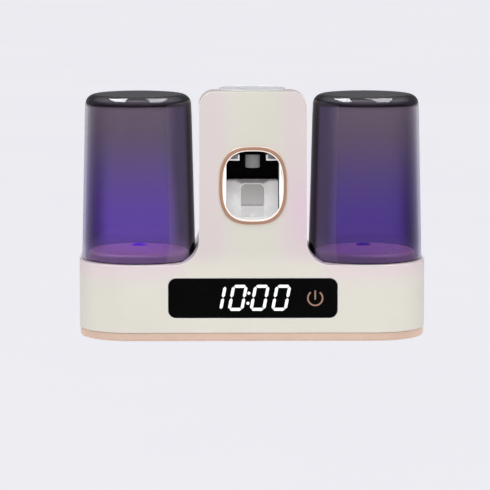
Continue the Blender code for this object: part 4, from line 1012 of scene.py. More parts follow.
@dataclass(frozen=True)
class LampLens(Finish):
    """Clear lens over a violet lamp: blue, with violet along its rim and right, or dull when off."""

    roughness: float | Pair = 0.12
    grain: Pair = (0.8 * MM, 1.0)
    relief: float = 0.01 * MM
    ior: float = 1.49
    middle: Pair = (0.0, 0.0)
    strength: float = 0.0

    def tint(self, paint: Paint) -> Socket:
        """Blue in the middle and violet from a distance out, in its body and in its light.

        Args:
            paint: The material in the making.

        Returns:
            The base colour.
        """
        offset = paint.add(Do.OFFSET, paint.place, (*self.middle, 0.0))
        distance = paint.add(Do.LENGTH, paint.add(Do.SCALE, offset, (1.0, 1.0, 0.0)))
        right = paint.add(Do.STEP, paint.add(Do.SPLIT, offset), 1.2 * MM, 3.4 * MM)
        rim = paint.add(Do.MOST, paint.add(Do.STEP, distance, 3.5 * MM, 5.6 * MM), right)
        light = paint.add(Do.BLEND, rim, "#1808FF", "#9A1BE8")
        paint.set(Emission_Color=light, Emission_Strength=self.strength)
        return paint.add(Do.BLEND, rim, "#3A2F94", "#6A5598")


@dataclass(frozen=True)
class Luminous(Finish):
    """A lit light-emitting segment behind the glass: even light, slightly hotter in the middle.

    White plastic given a painted glow has a pale body instead.
    """

    roughness: float | Pair = 0.3
    drift: Pair = (2.5 * MM, 2.0)
    relief: float = 0.0
    ior: float = 1.5
    strength: float = 1.0
    body: str = "#252525"

    def tint(self, paint: Paint) -> str:
        """The body's colour; the drifting tint goes to its light."""
        paint.set(Emission_Color=super().tint(paint), Emission_Strength=self.strength)
        return self.body


@dataclass(frozen=True)
class FrostedSeat(Finish):
    """Frosted polycarbonate: a spark-eroded mould face that scatters light, with painted lamp light making its
    top pinker.
    """

    roughness: float | Pair = (0.42, 0.55)
    drift: Pair = (18 * MM, 2.0)
    gloss: Pair = (0.9 * MM, 2.0)
    grain: Pair = (0.9 * MM, 2.0)
    relief: float = 0.02 * MM
    ior: float = 1.58
    more: tuple = (
        ("Subsurface_Weight", 0.12), ("Subsurface_Radius", (1.0, 0.9, 1.1)), ("Subsurface_Scale", 1.5 * MM),
        ("Sheen_Weight", 0.35), ("Sheen_Roughness", 0.3),
    )
    top: float = HOUSING_SHIFT[2] + LAYOUT.deck + 6.6 * MM

    def tint(self, paint: Paint) -> Socket:
        """Milky sides, and a pinker top where the lamp's light is painted on.

        Args:
            paint: The material in the making.

        Returns:
            The base colour.
        """
        height = paint.add(Do.SPLIT, paint.place).node.outputs["Z"]
        # Painted lamp light: the top is pinker.
        lit = paint.add(Do.STEP, height, self.top - 1.6 * MM, self.top - 0.2 * MM)
        return paint.add(Do.BLEND, lit, super().tint(paint), "#E6B7C0")


@dataclass(frozen=True)
class Silicone(Finish):
    """Cast silicone rubber: matt, with a dusting of fine grain and a soft sheen."""

    slot: str = "grey_silicone"
    roughness: float | Pair = (0.62, 0.78)
    drift: Pair = (11 * MM, 2.0)
    gloss: Pair = (0.7 * MM, 3.0)
    grain: Pair = (0.7 * MM, 3.0)
    relief: float = 0.02 * MM
    ior: float = 1.41
    more: tuple = (("Sheen_Weight", 0.15), ("Sheen_Roughness", 0.5))


@dataclass(frozen=True)
class ZincSteel(Finish):
    """Zinc-plated steel: drawn wire and cold-headed screws, bright with a bluish cast."""

    slot: str = "steel"
    roughness: float | Pair = (0.18, 0.36)
    drift: Pair = (1.2 * MM, 4.0)
    gloss: Pair = (1.2 * MM, 4.0)
    grain: Pair = (1.2 * MM, 4.0)
    relief: float = 0.008 * MM
    ior: float = 1.5
    metal: float = 1.0


@dataclass(frozen=True)
class LampBoard(Finish):
    """White solder mask, with lit violet lamps where the board stands proud of its face."""

    colour: str = "#E4E6E6"
    shade: str = "#D5D9DA"
    roughness: float | Pair = 0.35
    drift: Pair = (5 * MM, 2.0)
    relief: float = 0.0
    ior: float = 1.55
    face: float = 0.0

    def tint(self, paint: Paint) -> Socket:
        """White, and pale violet on the lamps.

        Args:
            paint: The material in the making.

        Returns:
            The base colour.
        """
        depth = paint.add(Do.SPLIT, paint.place).node.outputs["Y"]
        lamp = paint.add(Do.BELOW, depth, self.face)
        paint.set(Emission_Color="#5A2BFF", Emission_Strength=paint.add(Do.TIMES, lamp, 6.0))
        return paint.add(Do.BLEND, lamp, super().tint(paint), "#C9B8FF")


@dataclass(frozen=True)
class CellWrap(Finish):
    """A rechargeable cell: printed shrink sleeve with a pale band, bare nickel-plated ends."""

    roughness: float | Pair = (0.28, 0.4)
    gloss: Pair = (2.2 * MM, 2.0)
    grain: Pair = (2.2 * MM, 2.0)
    relief: float = 0.03 * MM
    lines: tuple[float, float, float] = (1.0, 1.0, 0.3)
    ior: float = 1.52
    foot: float = 0.0
    top: float = 0.0

    def tint(self, paint: Paint) -> Socket:
        """Blue sleeve, pale band and bare metal end, by height.

        Args:
            paint: The material in the making.

        Returns:
            The base colour.
        """
        height = paint.add(Do.SPLIT, paint.place).node.outputs["Z"]
        band = paint.add(Do.ABOVE, height, self.foot + 0.78 * (self.top - self.foot))
        bare = paint.add(Do.ABOVE, height, self.top - 1.2 * MM)
        paint.set(Metallic=bare)
        sleeve = paint.add(Do.BLEND, band, "#1E4C8F", "#D8DCE2")
        return paint.add(Do.BLEND, bare, sleeve, "#C9CBCF")


@dataclass(frozen=True)
class Foam(Finish):
    """Closed-cell polyethylene foam tape: small cells, cut open on its faces."""

    cell: float = 1.1 * MM

    def build(self) -> bpy.types.Material:
        """The material.

        Returns:
            The finished material.
        """
        paint = Paint(self.name)
        cells = paint.add(Do.CELLS, paint.place, 1 / self.cell)
        paint.set(
            Base_Color=paint.add(Do.BLEND, cells, self.colour, self.shade),
            Roughness=0.92,
            Normal=paint.add(Do.BUMP, 0.8, 0.15 * MM, None, cells),
        )
        return paint.material


@dataclass(frozen=True)
class CircuitBoard(Finish):
    """Glass-epoxy board under green solder mask, with tinned pads and copper runs in a grid."""

    pitch: float = 2.54 * MM

    def build(self) -> bpy.types.Material:
        """The material.

        Returns:
            The finished material.
        """
        paint = Paint(self.name)
        turned_up = paint.add(Do.MAP, paint.place, None, (math.radians(90), 0.0, 0.0))
        run = (1 / self.pitch, 0.1, 0.2, 0.0, 2.5, 0.5)
        bricks = paint.add(Do.BRICKS, turned_up, None, None, None, *run, out="Fac")
        pads = paint.add(Do.CELLS, turned_up, 0.5 / self.pitch)
        pad = paint.add(Do.BELOW, pads, 0.16)
        green = paint.add(Do.BLEND, bricks, self.colour, self.shade)
        paint.set(
            Base_Color=paint.add(Do.BLEND, pad, green, "#C9CBC8"),
            Metallic=pad,
            Roughness=paint.add(Do.RANGE, bricks, *MIDDLE, 0.34, 0.26),
            IOR=1.55,
            Normal=paint.add(Do.BUMP, 1.0, 0.03 * MM, None, bricks),
        )
        return paint.material


COARSE = (1.1 * MM, 1.0)
CREAM = ShellPlastic("moulded_cream_abs", "cream_shell", "#E3DFD2", "#DFDBCE")
CREAM_BACK = MouldedPlastic(
    "moulded_cream_abs_textured", "cream_shell", "#E2DDD2", "#DCD7CB", (0.47, 0.53),
    grain=COARSE, relief=0.03 * MM,
)
WHITE = MouldedPlastic("moulded_white_abs", "white_plastic", "#EDEEEF", "#E6E7E9", (0.23, 0.29))
# The frame's facings: white plastic with a painted glow that brightens them.
FACING = Luminous("painted_glow_white_facing", "white_plastic", "#F4F2F6", "#FFFFFF", strength=0.62, body="#F2F2F4")
# The ceiling webs are painted grey as the shade inside the window.
WEB = MouldedPlastic("painted_shade_grey_abs", "grey_plastic", "#8E8E90", "#858587", (0.37, 0.43))
CHAMBER = MouldedPlastic("moulded_white_polypropylene", "white_plastic", "#DEDEE2", "#D4D4DA", (0.39, 0.45))
BLACK = MouldedPlastic(
    "moulded_black_abs", "black_plastic", "#121213", "#18181A", (0.47, 0.53),
    grain=COARSE, relief=0.02 * MM,
)
PUMP = MouldedPlastic(
    "moulded_black_acetal", "black_plastic", "#020202", "#040404", (0.57, 0.63),
    grain=COARSE, relief=0.01 * MM, more=(("Specular_IOR_Level", 0.1),),
)
FAN = MouldedPlastic("moulded_fan_nylon", "grey_plastic", "#3A3B3D", "#2E2F31", (0.42, 0.48))
NOZZLE = MouldedPlastic("moulded_grey_acetal", "grey_plastic", "#8A8A8B", "#7F7F80", (0.39, 0.45))
ROSE_RING = MetallicLacquer("copper_metallic_lacquer", "rose_metal", "#C49A81", "#BC937B", band=3.4)
ROSE_TRIM = MetallicLacquer(
    "rose_metallic_lacquer", "rose_metal", "#F6D6C1", "#F0CFBA", metal=0.25, lines=(0.5, 0.5, 8.0)
)
GLASS = BlackGlass("back_painted_glass", "display_glass", "#050505", "#080809")
DIGITS = Luminous("lit_white_segment", "display_glass", "#FFFFFF", "#F4F8FF", strength=1.15)
SYMBOL = Luminous("lit_rose_symbol", "display_glass", "#D7A288", "#E0AE95", strength=0.53)
SEAT = FrostedSeat("frosted_polycarbonate", "frosted_seat", "#DCC2CC", "#D2B8C1")
GRIP = Silicone("cast_grey_silicone", colour="#6F7073", shade="#626366")
SEAL = Silicone("cast_pale_silicone", colour="#B9B9BC", shade="#A9A9AD")
BLADDER = Silicone("cast_smoke_silicone", colour="#77787B", shade="#68696C")
STEEL = ZincSteel("zinc_plated_screw_steel", colour="#C3C6CB", shade="#A9ADB5")
SPRING = ZincSteel("drawn_spring_steel", colour="#B9BBC0", shade="#9A9DA4", roughness=(0.22, 0.4))
FOAM = Foam("foam_tape", colour="#8E8E8C", shade="#B4B4B0")
BOARD = CircuitBoard("green_circuit_board", "circuit_board", "#14562F", "#2A8A4B")
# The floor is matt and glows a little, so that it stays even far away.
FLOOR = Finish(
    "pale_studio_floor", "", "#F4F4F6", "#F1F1F4", 0.85, (2.0, 2.0), relief=0.0, ior=1.5,
    more=(("Emission_Color", "#FBFBFF"), ("Emission_Strength", 0.34)),
)
# A cup's smoke, the strength of its painted glow, and that of the lamp under it, dull on the right.
LIT = {Side.LEFT: ("#9C8DB0", 0.095, 0.85), Side.RIGHT: ("#8F81A6", 0.066, 0.08)}
MADE: dict[str, bpy.types.Material] = {}


def material_of(finish: Finish) -> bpy.types.Material:
    """A finish's material, built once.

    Args:
        finish: The finish.

    Returns:
        The material.
    """
    if finish.name not in MADE:
        MADE[finish.name] = finish.build()
    return MADE[finish.name]


def coat(thing: Thing, finish: Finish) -> None:
    """Gives a piece its material, and even shading as its last modifier.

    Args:
        thing: The piece.
        finish: Its finish.
    """
    thing.data.materials.clear()
    thing.data.materials.append(material_of(finish))
    thing.modifiers.new("even_shading", "WEIGHTED_NORMAL").keep_sharp = True


def mount(
    thing: Thing, name: str, finish: Finish, *nodes: str, body: str = "housing", angle: float = 35.0
) -> None:
    """Ends a piece: shifts its mesh to the shared frame, dresses it and hangs it on its body.

    Args:
        thing: The piece, drawn in the housing's frame.
        name: Its name.
        finish: Its finish, which knows the record's material slot.
        nodes: CAD nodes that it stands for.
        body: The CAD body that it moves with.
        angle: Edges sharper than this, in degrees, stay sharp in its shading.
    """
    thing.name = thing.data.name = name
    thing.data.transform(Matrix.Translation(HOUSING_SHIFT))
    thing.data.shade_smooth()
    thing.data.set_sharp_from_angle(angle=math.radians(angle))
    coat(thing, finish)
    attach(thing, body)
    if nodes:
        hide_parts(*nodes)
    edges = np.empty(len(thing.data.loops), np.int32)
    thing.data.loops.foreach_get("edge_index", edges)
    loose = int(np.sum(np.bincount(edges, minlength=len(thing.data.edges)) != 2))
    log.info("%s: %d faces, %d open edges, rides on %s", name, len(thing.data.polygons), loose, body)


def dress(node: str, finish: Finish, rounding: float = 0.25 * MM, angle: float = 38.0) -> None:
    """Gives a CAD node that stays its finish and rounds its edges with modifiers.

    Args:
        node: The node's name.
        finish: Its finish.
        rounding: Width of the rounded edges; none where it is zero.
        angle: Edges sharper than this, in degrees, are rounded.
    """
    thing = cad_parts[node]
    thing.modifiers.new("weld", "WELD").merge_threshold = 0.002 * MM
    if rounding:
        bevel(thing, rounding, 2, angle)
    coat(thing, finish)
    log.info("%s: CAD mesh dressed as %s", node, finish.name)


@dataclass
class Housing:
    """The two cream shells: a wide tray with a column on its middle, pocketed for the cups."""

    column_corner: float = 11.0 * MM
    column_fillet: float = 17.5 * MM
    crown_drop: float = 6.0 * MM
    edge: float = 1.2 * MM
    pocket_radius: float = 42.2 * MM
    pocket_lift: float = 0.1 * MM
    mouth_flare: float = 0.45 * MM
    opening_inset: float = 1.75 * MM
    opening_share: tuple = (0.97, 0.86)
    ring_sleeve: float = 1.0 * MM
    well_drop: float = 1.1 * MM
    well_foot: float = 10.0 * MM
    rear_bosses: tuple = ((108.0 * MM, 45.2 * MM), (30.9 * MM, 163.8 * MM))
    boss_radius: float = 3.4 * MM
    boss_length: float = 22.0 * MM
    screw_head: float = 2.8 * MM
    screw_hole: float = 1.3 * MM
    plate_recess: tuple = (30.5 * MM, 54.5 * MM, 136.5 * MM)
    plate_recess_corner: float = 6.0 * MM
    recess_floor: float = 85.2 * MM
    hook_x: float = 27.0 * MM
    hook_slot: tuple = (3.5 * MM, 110.5 * MM, 123.3 * MM)

    def silhouette(self, inset: float, drop: float) -> np.ndarray:
        """The front view: a column that meets the deck in fillets, wider than the plan.

        Args:
            inset: How far the outline is drawn in.
            drop: How far the column's top has fallen at this depth.

        Returns:
            The outline's points, x and height.
        """
        column = LAYOUT.column_width / 2 - inset
        deck = LAYOUT.deck - inset
        top = LAYOUT.body_height - inset - drop
        corner = self.column_corner - inset
        fillet = self.column_fillet + inset
        side = LAYOUT.body_width / 2 + FAR
        right = np.vstack([
            [(side, -FAR), (side, deck)],
            arc(column + fillet, deck + fillet, fillet, 270, 180, 20),
            arc(column - corner, top - corner, corner, 0, 90, 16),
        ])
        return np.vstack([right, right[::-1] * (-1, 1)])

    def form(self, inset: float) -> Thing:
        """The T-shaped form: the silhouette carried back as its top falls, within the plan.

        The top falls by the square of the depth's share.

        Args:
            inset: How far the form is drawn in from the outside.

        Returns:
            The form.
        """
        depth = LAYOUT.body_depth
        places = np.concatenate([[-FAR / 4], np.linspace(0.09, 0.91, 8) * depth, [depth + FAR / 4]])
        drops = self.crown_drop * (np.maximum(places, 0.0) / depth) ** 2
        thing = solid(loft([(self.silhouette(inset, drop), y) for drop, y in zip(drops, places)], Axis.Y))
        return shape(thing, Cut.KEEP_SHARED, prism(LAYOUT.plan(inset), -2 * FAR, LAYOUT.body_height + FAR))

    def pockets(self, margin: float, low: float, around: int) -> list[Skin]:
        """The two round tool solids on the cups' axes.

        Args:
            margin: How much wider they are than the pockets.
            low: Height of their feet.
            around: Points round each.

        Returns:
            The closed surfaces.
        """
        radius = self.pocket_radius + margin
        top = LAYOUT.body_height + FAR
        places = [side.value * LAYOUT.cup_x for side in Side]
        return [rod(radius, low, top, Axis.Z, x, LAYOUT.cup_depth, around) for x in places]

    def outer(self) -> Thing:
        """The outside of both shells, with rounded edges and round pockets beside the column.

        Returns:
            The form.
        """
        thing = round_edges(self.form(0.0), self.edge, 4, 40)
        width = LAYOUT.body_width
        foot = box(-width, width, -FAR, PAST_BACK, -2 * FAR, LAYOUT.trim_height + LAYOUT.gap)
        return shape(thing, Cut.TAKE, *self.pockets(0.0, LAYOUT.deck + self.pocket_lift, 128), foot)

    def inner(self) -> Thing:
        """The hollow of both shells, which leaves a wall round the cup pockets."""
        low = LAYOUT.deck - LAYOUT.wall - self.pocket_lift
        return shape(self.form(LAYOUT.wall), Cut.TAKE, *self.pockets(LAYOUT.wall, low, 96))

    def flared(self, radius: float, x: float, y: float, surface: float, low: float) -> Skin:
        """A round tool solid whose mouth widens by a small flare at a top surface.

        Args:
            radius: Radius of the hole.
            x: Centre across.
            y: Centre in depth.
            surface: Height of the surface that the hole opens on.
            low: Height of its foot.

        Returns:
            The closed surface.
        """
        flare = self.mouth_flare
        lip = arc(radius + flare, surface - flare, flare, 180, 90, 4)
        profile = np.vstack([[(radius, low)], lip, [(radius + flare, surface + FAR)]])
        return turned(profile, (x, y), Axis.Z, 128)

    def front(self, outer: Thing, inner: Thing) -> None:
        """The front shell with its window, display recess, seat holes, top well and bosses.

        Args:
            outer: The outside form.
            inner: The hollow form.
        """
        gap = LAYOUT.gap
        width = LAYOUT.body_width
        end = LAYOUT.split - gap / 2
        behind = LAYOUT.wall + gap
        thing = copy_of(outer)
        shape(thing, Cut.TAKE, box(-width, width, end, PAST_BACK, -FAR, PAST_TOP), tangled=True)
        window = prism(LAYOUT.window(self.ring_sleeve + gap), -FAR, behind, Axis.Y)
        flare = self.mouth_flare
        recess = [(LAYOUT.lens(gap + flare), -FAR)]
        for angle in np.radians(np.linspace(90, 0, 5)):
            recess.append((LAYOUT.lens(gap + flare * (1 - math.cos(angle))), flare * (1 - math.sin(angle))))
        recess.append((LAYOUT.lens(gap), LAYOUT.lens_thickness + gap))
        middle = np.array([0.0, LAYOUT.lens_z])
        opening = middle + (LAYOUT.lens(gap - self.opening_inset) - middle) * self.opening_share
        opening = prism(opening, -FAR, behind, Axis.Y)
        top = LAYOUT.body_height - self.well_drop
        low = LAYOUT.socket_bottom + self.well_foot
        well = self.flared(LAYOUT.socket_radius + gap, 0.0, LAYOUT.socket_depth, top, low)
        shape(thing, Cut.TAKE, copy_of(inner), window, loft(recess, Axis.Y), opening, well)
        top = LAYOUT.deck + self.pocket_lift
        for side in Side:
            x = side.value * LAYOUT.cup_x
            hole = self.flared(LAYOUT.seat_radius + gap, x, LAYOUT.cup_depth, top, LAYOUT.deck - FAR / 2)
            shape(thing, Cut.TAKE, hole)
            for boss_x, z in self.rear_bosses:
                boss = rod(self.boss_radius, end - self.boss_length, end, Axis.Y, side.value * boss_x, z, 32)
                shape(thing, Cut.ADD, boss)
        mount(thing, "shell_front", CREAM, "front_shell", angle=28.0)

    def rear(self, outer: Thing, inner: Thing) -> None:
        """The back cover with its screw wells, and the recess and slots that hang it.

        Args:
            outer: The outside form.
            inner: The hollow form.
        """
        gap = LAYOUT.gap
        wall = LAYOUT.wall
        width = LAYOUT.body_width
        back = LAYOUT.body_depth + FAR
        start = LAYOUT.split + gap / 2
        inside = LAYOUT.body_depth - wall / 2
        thing = copy_of(outer)
        shape(thing, Cut.TAKE, box(-width, width, -FAR, start, -FAR, PAST_TOP), tangled=True)
        shape(thing, Cut.TAKE, copy_of(inner))
        half, low, high = self.plate_recess
        floor = self.recess_floor
        shape(thing, Cut.ADD, box(-half - wall, half + wall, floor - wall, inside, low - wall, high + wall))
        recess = rounded_rectangle(-half, half, low, high, self.plate_recess_corner, 10)
        shape(thing, Cut.TAKE, prism(recess, floor, back, Axis.Y))
        slot, slot_low, slot_high = self.hook_slot
        for side in Side:
            x = side.value * self.hook_x
            hole = rounded_rectangle(x - slot, x + slot, slot_low, slot_high, 0.8 * MM, 4)
            shape(thing, Cut.TAKE, prism(hole, floor - 2 * wall, back, Axis.Y))
            for boss_x, z in self.rear_bosses:
                centre = side.value * boss_x
                shape(thing, Cut.ADD, rod(self.screw_head + 1.2 * MM, start, inside, Axis.Y, centre, z, 40))
                hole = rod(self.screw_hole, start - FAR, back, Axis.Y, centre, z, 24)
                shape(thing, Cut.TAKE, hole, rod(self.screw_head, start + wall, back, Axis.Y, centre, z, 40))
        mount(thing, "shell_rear", CREAM_BACK, "rear_shell", angle=28.0)

    def build(self) -> None:
        """Builds both shells."""
        outer = self.outer()
        inner = self.inner()
        self.front(outer, inner)
        self.rear(outer, inner)
        bpy.data.objects.remove(outer)
        bpy.data.objects.remove(inner)


@dataclass
class Foot:
    """The rose trim band, the bottom cover in it, and the soft liners of its brush slots."""

    inset: float = 0.5 * MM
    band: float = 2.4 * MM
    ledge: float = 4.0 * MM
    rounding: float = 1.8 * MM
    ledge_bottom: float = 3.6 * MM
    cover_bottom: float = 0.9 * MM
    cover_top: float = 3.3 * MM
    brush_x: float = 87.0 * MM
    brush_pitch: float = 32.4 * MM
    entry_depth: float = 33.0 * MM
    entry_radius: float = 10.0 * MM
    slot_half: float = 3.5 * MM
    slot_length: float = 27.0 * MM
    liner: float = 1.2 * MM
    liner_flange: float = 1.8 * MM
    screw_x: float = 46.0 * MM
    screw_depths: tuple = (16.5 * MM, 72.0 * MM)
    screw_hole: float = 1.3 * MM
    screw_head: float = 2.8 * MM
    screw_well: float = 1.7 * MM

    def trim(self) -> None:
        """The band: a rounded section carried round the plan at its insets and heights."""
        top, r, edge = LAYOUT.trim_height, self.rounding, self.inset
        band = edge + self.band
        ledge = band + self.ledge
        profile = [(ledge, top), (ledge, self.ledge_bottom), (band, self.ledge_bottom)]
        profile += [(band, 0.3 * MM), (band - 0.3 * MM, 0.0)]
        for angle in np.radians(np.linspace(0, 90, 9)):
            profile.append((edge + r * (1 - math.sin(angle)), r * (1 - math.cos(angle))))
        profile += [(edge, top - 0.35 * MM), (edge + 0.1 * MM, top - 0.1 * MM), (edge + 0.35 * MM, top)]
        sections = [(LAYOUT.plan(inset), place) for inset, place in profile]
        mount(solid(loft(sections, Axis.Z, wrap=True)), "trim_band", ROSE_TRIM, "base_trim", angle=30.0)

    def slots(self) -> list[tuple[int, float]]:
        """The number and x of each brush slot.

        Returns:
            Pairs of number and x.
        """
        places = []
        for station, side in enumerate(Side):
            for half, step in enumerate((-1, 1)):
                places.append((2 * station + half + 1, side.value * self.brush_x + step * self.brush_pitch / 2))
        return places

    def keyhole(self, x: float, margin: float) -> np.ndarray:
        """A round entry with a narrower slot running back from it to a round end.

        Args:
            x: Middle of the slot.
            margin: How much larger the outline is on every side.

        Returns:
            The outline's points, x and depth.
        """
        half = self.slot_half + self.liner + LAYOUT.gap + margin
        radius = self.entry_radius + margin
        meet = math.degrees(math.asin(half / radius))
        entry = arc(x, self.entry_depth, radius, 90 + meet, 450 - meet, 40)
        return np.vstack([entry, arc(x, self.entry_depth + self.slot_length, half, 0, 180, 20)])

    def cover(self) -> None:
        """The plate with four flared keyhole slots, the charging inlet and screw wells."""
        gap = LAYOUT.gap
        margin = self.inset + self.band + gap
        lip = 0.4 * MM
        low, high = self.cover_bottom, self.cover_top
        plan = LAYOUT.plan(margin)
        thing = solid(loft([(LAYOUT.plan(margin + lip), low), (plan, low + lip), (plan, high)], Axis.Z))
        mouth = [(0.6 * MM, -FAR), (0.6 * MM, low), (0.25 * MM, low + 0.2 * MM)]
        mouth += [(0.0, low + 0.6 * MM), (0.0, FAR)]
        for _, x in self.slots():
            shape(thing, Cut.TAKE, loft([(self.keyhole(x, wider), z) for wider, z in mouth], Axis.Z))
        inlet_low, inlet_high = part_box("usb_socket")
        x0, y0 = (inlet_low - SHIFT)[:2]
        x1, y1 = (inlet_high - SHIFT)[:2]
        radius = 0.48 * (y1 - y0)
        inlet, flare = (
            rounded_rectangle(x0 - wider, x1 + wider, y0 - wider, y1 + wider, corner, 8)
            for wider, corner in ((gap, radius), (3 * gap, radius + 2 * gap))
        )
        sections = [(flare, -FAR), (flare, low), (inlet, low + 2 * gap), (inlet, FAR)]
        shape(thing, Cut.TAKE, loft(sections, Axis.Z))
        for side in Side:
            for y in self.screw_depths:
                x = side.value * self.screw_x
                hole = rod(self.screw_hole, -FAR, FAR, Axis.Z, x, y, 24)
                head = rod(self.screw_head, -FAR, low + self.screw_well, Axis.Z, x, y, 48)
                shape(thing, Cut.TAKE, hole, head)
        mount(thing, "cover_bottom", CREAM_BACK, "bottom_cover")

    def tongue(self, x: float, start: float, half: float) -> np.ndarray:
        """A strip along a slot with a round end at its back.

        Args:
            x: Middle of the slot.
            start: Depth where the strip starts.
            half: Half its width.

        Returns:
            The outline's points, x and depth.
        """
        end = self.entry_depth + self.slot_length
        return np.vstack([[(x + half, start)], arc(x, end, half, 0, 180, 24), [(x - half, start)]])

    def liners(self) -> None:
        """The soft liners: a thin lip in each slot under a flange, with rounded inner edges."""
        gap = LAYOUT.gap
        outer = self.slot_half + self.liner
        start = self.entry_depth + math.sqrt(self.entry_radius ** 2 - outer ** 2) + 2 * gap
        low = self.cover_top + gap
        high = low + self.liner
        for number, x in self.slots():
            thing = solid(prism(self.tongue(x, start, outer), self.cover_bottom, (low + high) / 2))
            shape(thing, Cut.ADD, prism(self.tongue(x, start, outer + self.liner_flange), low, high))
            shape(thing, Cut.TAKE, prism(self.tongue(x, start - FAR, self.slot_half), -FAR, FAR))
            round_edges(thing, 0.25 * MM, 2, 50)
            mount(thing, f"slot_liner_{number}", GRIP, f"brush_grip_{number}")

    def build(self) -> None:
        """Builds the trim, the cover and the liners, and dresses the charging inlet."""
        self.trim()
        self.cover()
        self.liners()
        dress("usb_socket", STEEL, 0.0)


@dataclass
class WindowRing:
    """The copper ring round the window: a crowned flange on a thin sleeve through the wall."""

    band: float = 3.4 * MM
    proud: float = 1.3 * MM
    sleeve: float = 1.0 * MM
    shoulder: float = 0.6 * MM
    inner_bevel: float = 0.65 * MM

    def mark(self, thing: Thing, margins: np.ndarray) -> None:
        """Writes each point's margin in millimetres: the one whose superellipse it lies on.

        The superellipse grown by a margin m is |x/(a+m)|^p + |z/(b+m)|^p = 1.

        Args:
            thing: The ring.
            margins: The margins of its section's points.
        """
        x, _, z = np.abs(points_of(thing) - (0.0, 0.0, LAYOUT.window_z)).T[:, :, None]
        power = LAYOUT.window_power
        wide, tall = LAYOUT.window_width / 2 + margins, LAYOUT.window_height / 2 + margins
        miss = np.abs((x / wide) ** power + (z / tall) ** power - 1)
        write(thing, "margin", margins[np.argmin(miss, axis=1)] / MM)

    def build(self) -> None:
        """Carries the ring's section round the window's outline."""
        gap = LAYOUT.gap
        outside = arc(self.band - self.shoulder, self.shoulder - 0.94 * self.proud, self.shoulder, 0, -90, 6)
        inside = arc(self.inner_bevel, self.inner_bevel - self.proud, self.inner_bevel, -90, -180, 6)
        face = [(0.45 * self.band + step * 0.1 * self.band, -self.proud) for step in (2, 1, 0, -1)]
        section = [(self.band, -gap), *map(tuple, outside), *face, *map(tuple, inside)]
        section += [(0.0, LAYOUT.wall), (self.sleeve, LAYOUT.wall), (self.sleeve, -gap)]
        sections = [(LAYOUT.window(margin), y) for margin, y in section]
        thing = solid(loft(sections, Axis.Y, wrap=True))
        self.mark(thing, np.array([margin for margin, _ in section]))
        mount(thing, "ring_window", ROSE_RING, "window_ring", angle=40.0)


@dataclass
class ClockDisplay:
    """The black lens with its lit clock digits and touch symbol, and what stands behind it."""

    chamfer: float = 0.35 * MM
    digit_height: float = 18.8 * MM
    stroke: float = 2.2 * MM
    slant: float = 10.7
    rise: float = 0.3 * MM
    print_depth: float = 0.15 * MM
    print_proud: float = 0.03 * MM
    zero_places: tuple = (-10.85 * MM, 4.8 * MM, 20.2 * MM)
    digit_width: float = 9.0 * MM
    digit_gap: float = 0.25 * MM
    one_x: float = -21.4 * MM
    colon: tuple = ((-2.9 * MM, 3.65 * MM), (-3.6 * MM, -3.6 * MM))
    dot: float = 1.1 * MM
    symbol_x: float = 44.5 * MM
    symbol_radius: float = 5.8 * MM
    symbol_stroke: float = 1.1 * MM

    def lens(self) -> None:
        """The glass: its outline carried back from a small polished chamfer."""
        edge = self.chamfer
        sections = []
        for angle in np.radians(np.linspace(0, 90, 5)):
            sections.append((LAYOUT.lens(edge * (math.sin(angle) - 1)), edge * (1 - math.cos(angle))))
        sections.append((LAYOUT.lens(0.0), LAYOUT.lens_thickness))
        mount(solid(loft(sections, Axis.Y)), "lens_display", GLASS, "display_lens")

    def printed(self, outline: np.ndarray) -> Skin:
        """A thin lit shape in the lens's face, given about the lens's middle."""
        return prism(outline + (0.0, LAYOUT.lens_z), -self.print_proud, self.print_depth, Axis.Y)

    def bar(self, x: float, z: float, length: float, upright: bool) -> Skin:
        """One six-cornered segment, leaning with the digits: x grows by z tan(slant).

        Args:
            x: Its middle before leaning.
            z: Its middle's height.
            length: Its length, points included.
            upright: Whether it stands or lies.

        Returns:
            The closed surface.
        """
        t = self.stroke / 2
        reach = length / 2
        upper = np.array([(reach, 0), (reach - t, t), (t - reach, t)])
        hexagon = np.vstack([upper, -upper])
        if upright:
            hexagon = hexagon[:, ::-1] * (-1, 1)
        points = hexagon + (x, z)
        points[:, 0] += points[:, 1] * math.tan(math.radians(self.slant))
        points[:, 1] += self.rise
        return self.printed(points)

    def digits(self) -> None:
        """The time, 10:00, from six-cornered bars and two round dots."""
        half = self.digit_height / 2 - self.stroke / 2
        quarter = half / 2
        wide = self.digit_width / 2
        upright = half - 2 * self.digit_gap
        flat = self.digit_width - 2 * self.digit_gap
        skins = [self.bar(self.one_x, sign * quarter, upright, True) for sign in (-1, 1)]
        for x in self.zero_places:
            for side in (-1, 1):
                skins += [self.bar(x + side * wide, sign * quarter, upright, True) for sign in (-1, 1)]
                skins.append(self.bar(x, side * half, flat, False))
        skins += [self.printed(arc(x, z, self.dot, 0, 345, 23)) for x, z in self.colon]
        mount(solid(*skins), "clock_digits", DIGITS)

    def symbol(self) -> None:
        """The touch symbol: an open ring, with a bar through its gap."""
        outer = self.symbol_radius
        inner = outer - self.symbol_stroke
        ring = np.vstack([arc(0, 0, outer, 128, 412, 48), arc(0, 0, inner, 412, 128, 48)]) + (self.symbol_x, 0)
        x, half = self.symbol_x, self.symbol_stroke / 2
        stem = rounded_rectangle(x - half, x + half, -1.1 * MM, 5.7 * MM, 0.98 * half, 6)
        mount(solid(self.printed(ring), self.printed(stem)), "touch_symbol", SYMBOL)

    def build(self) -> None:
        """Builds the lens and what is lit in it, and dresses the board and spring behind it."""
        self.lens()
        self.digits()
        self.symbol()
        dress("display_board", BOARD)
        dress("touch_spring", SPRING, 0.0)


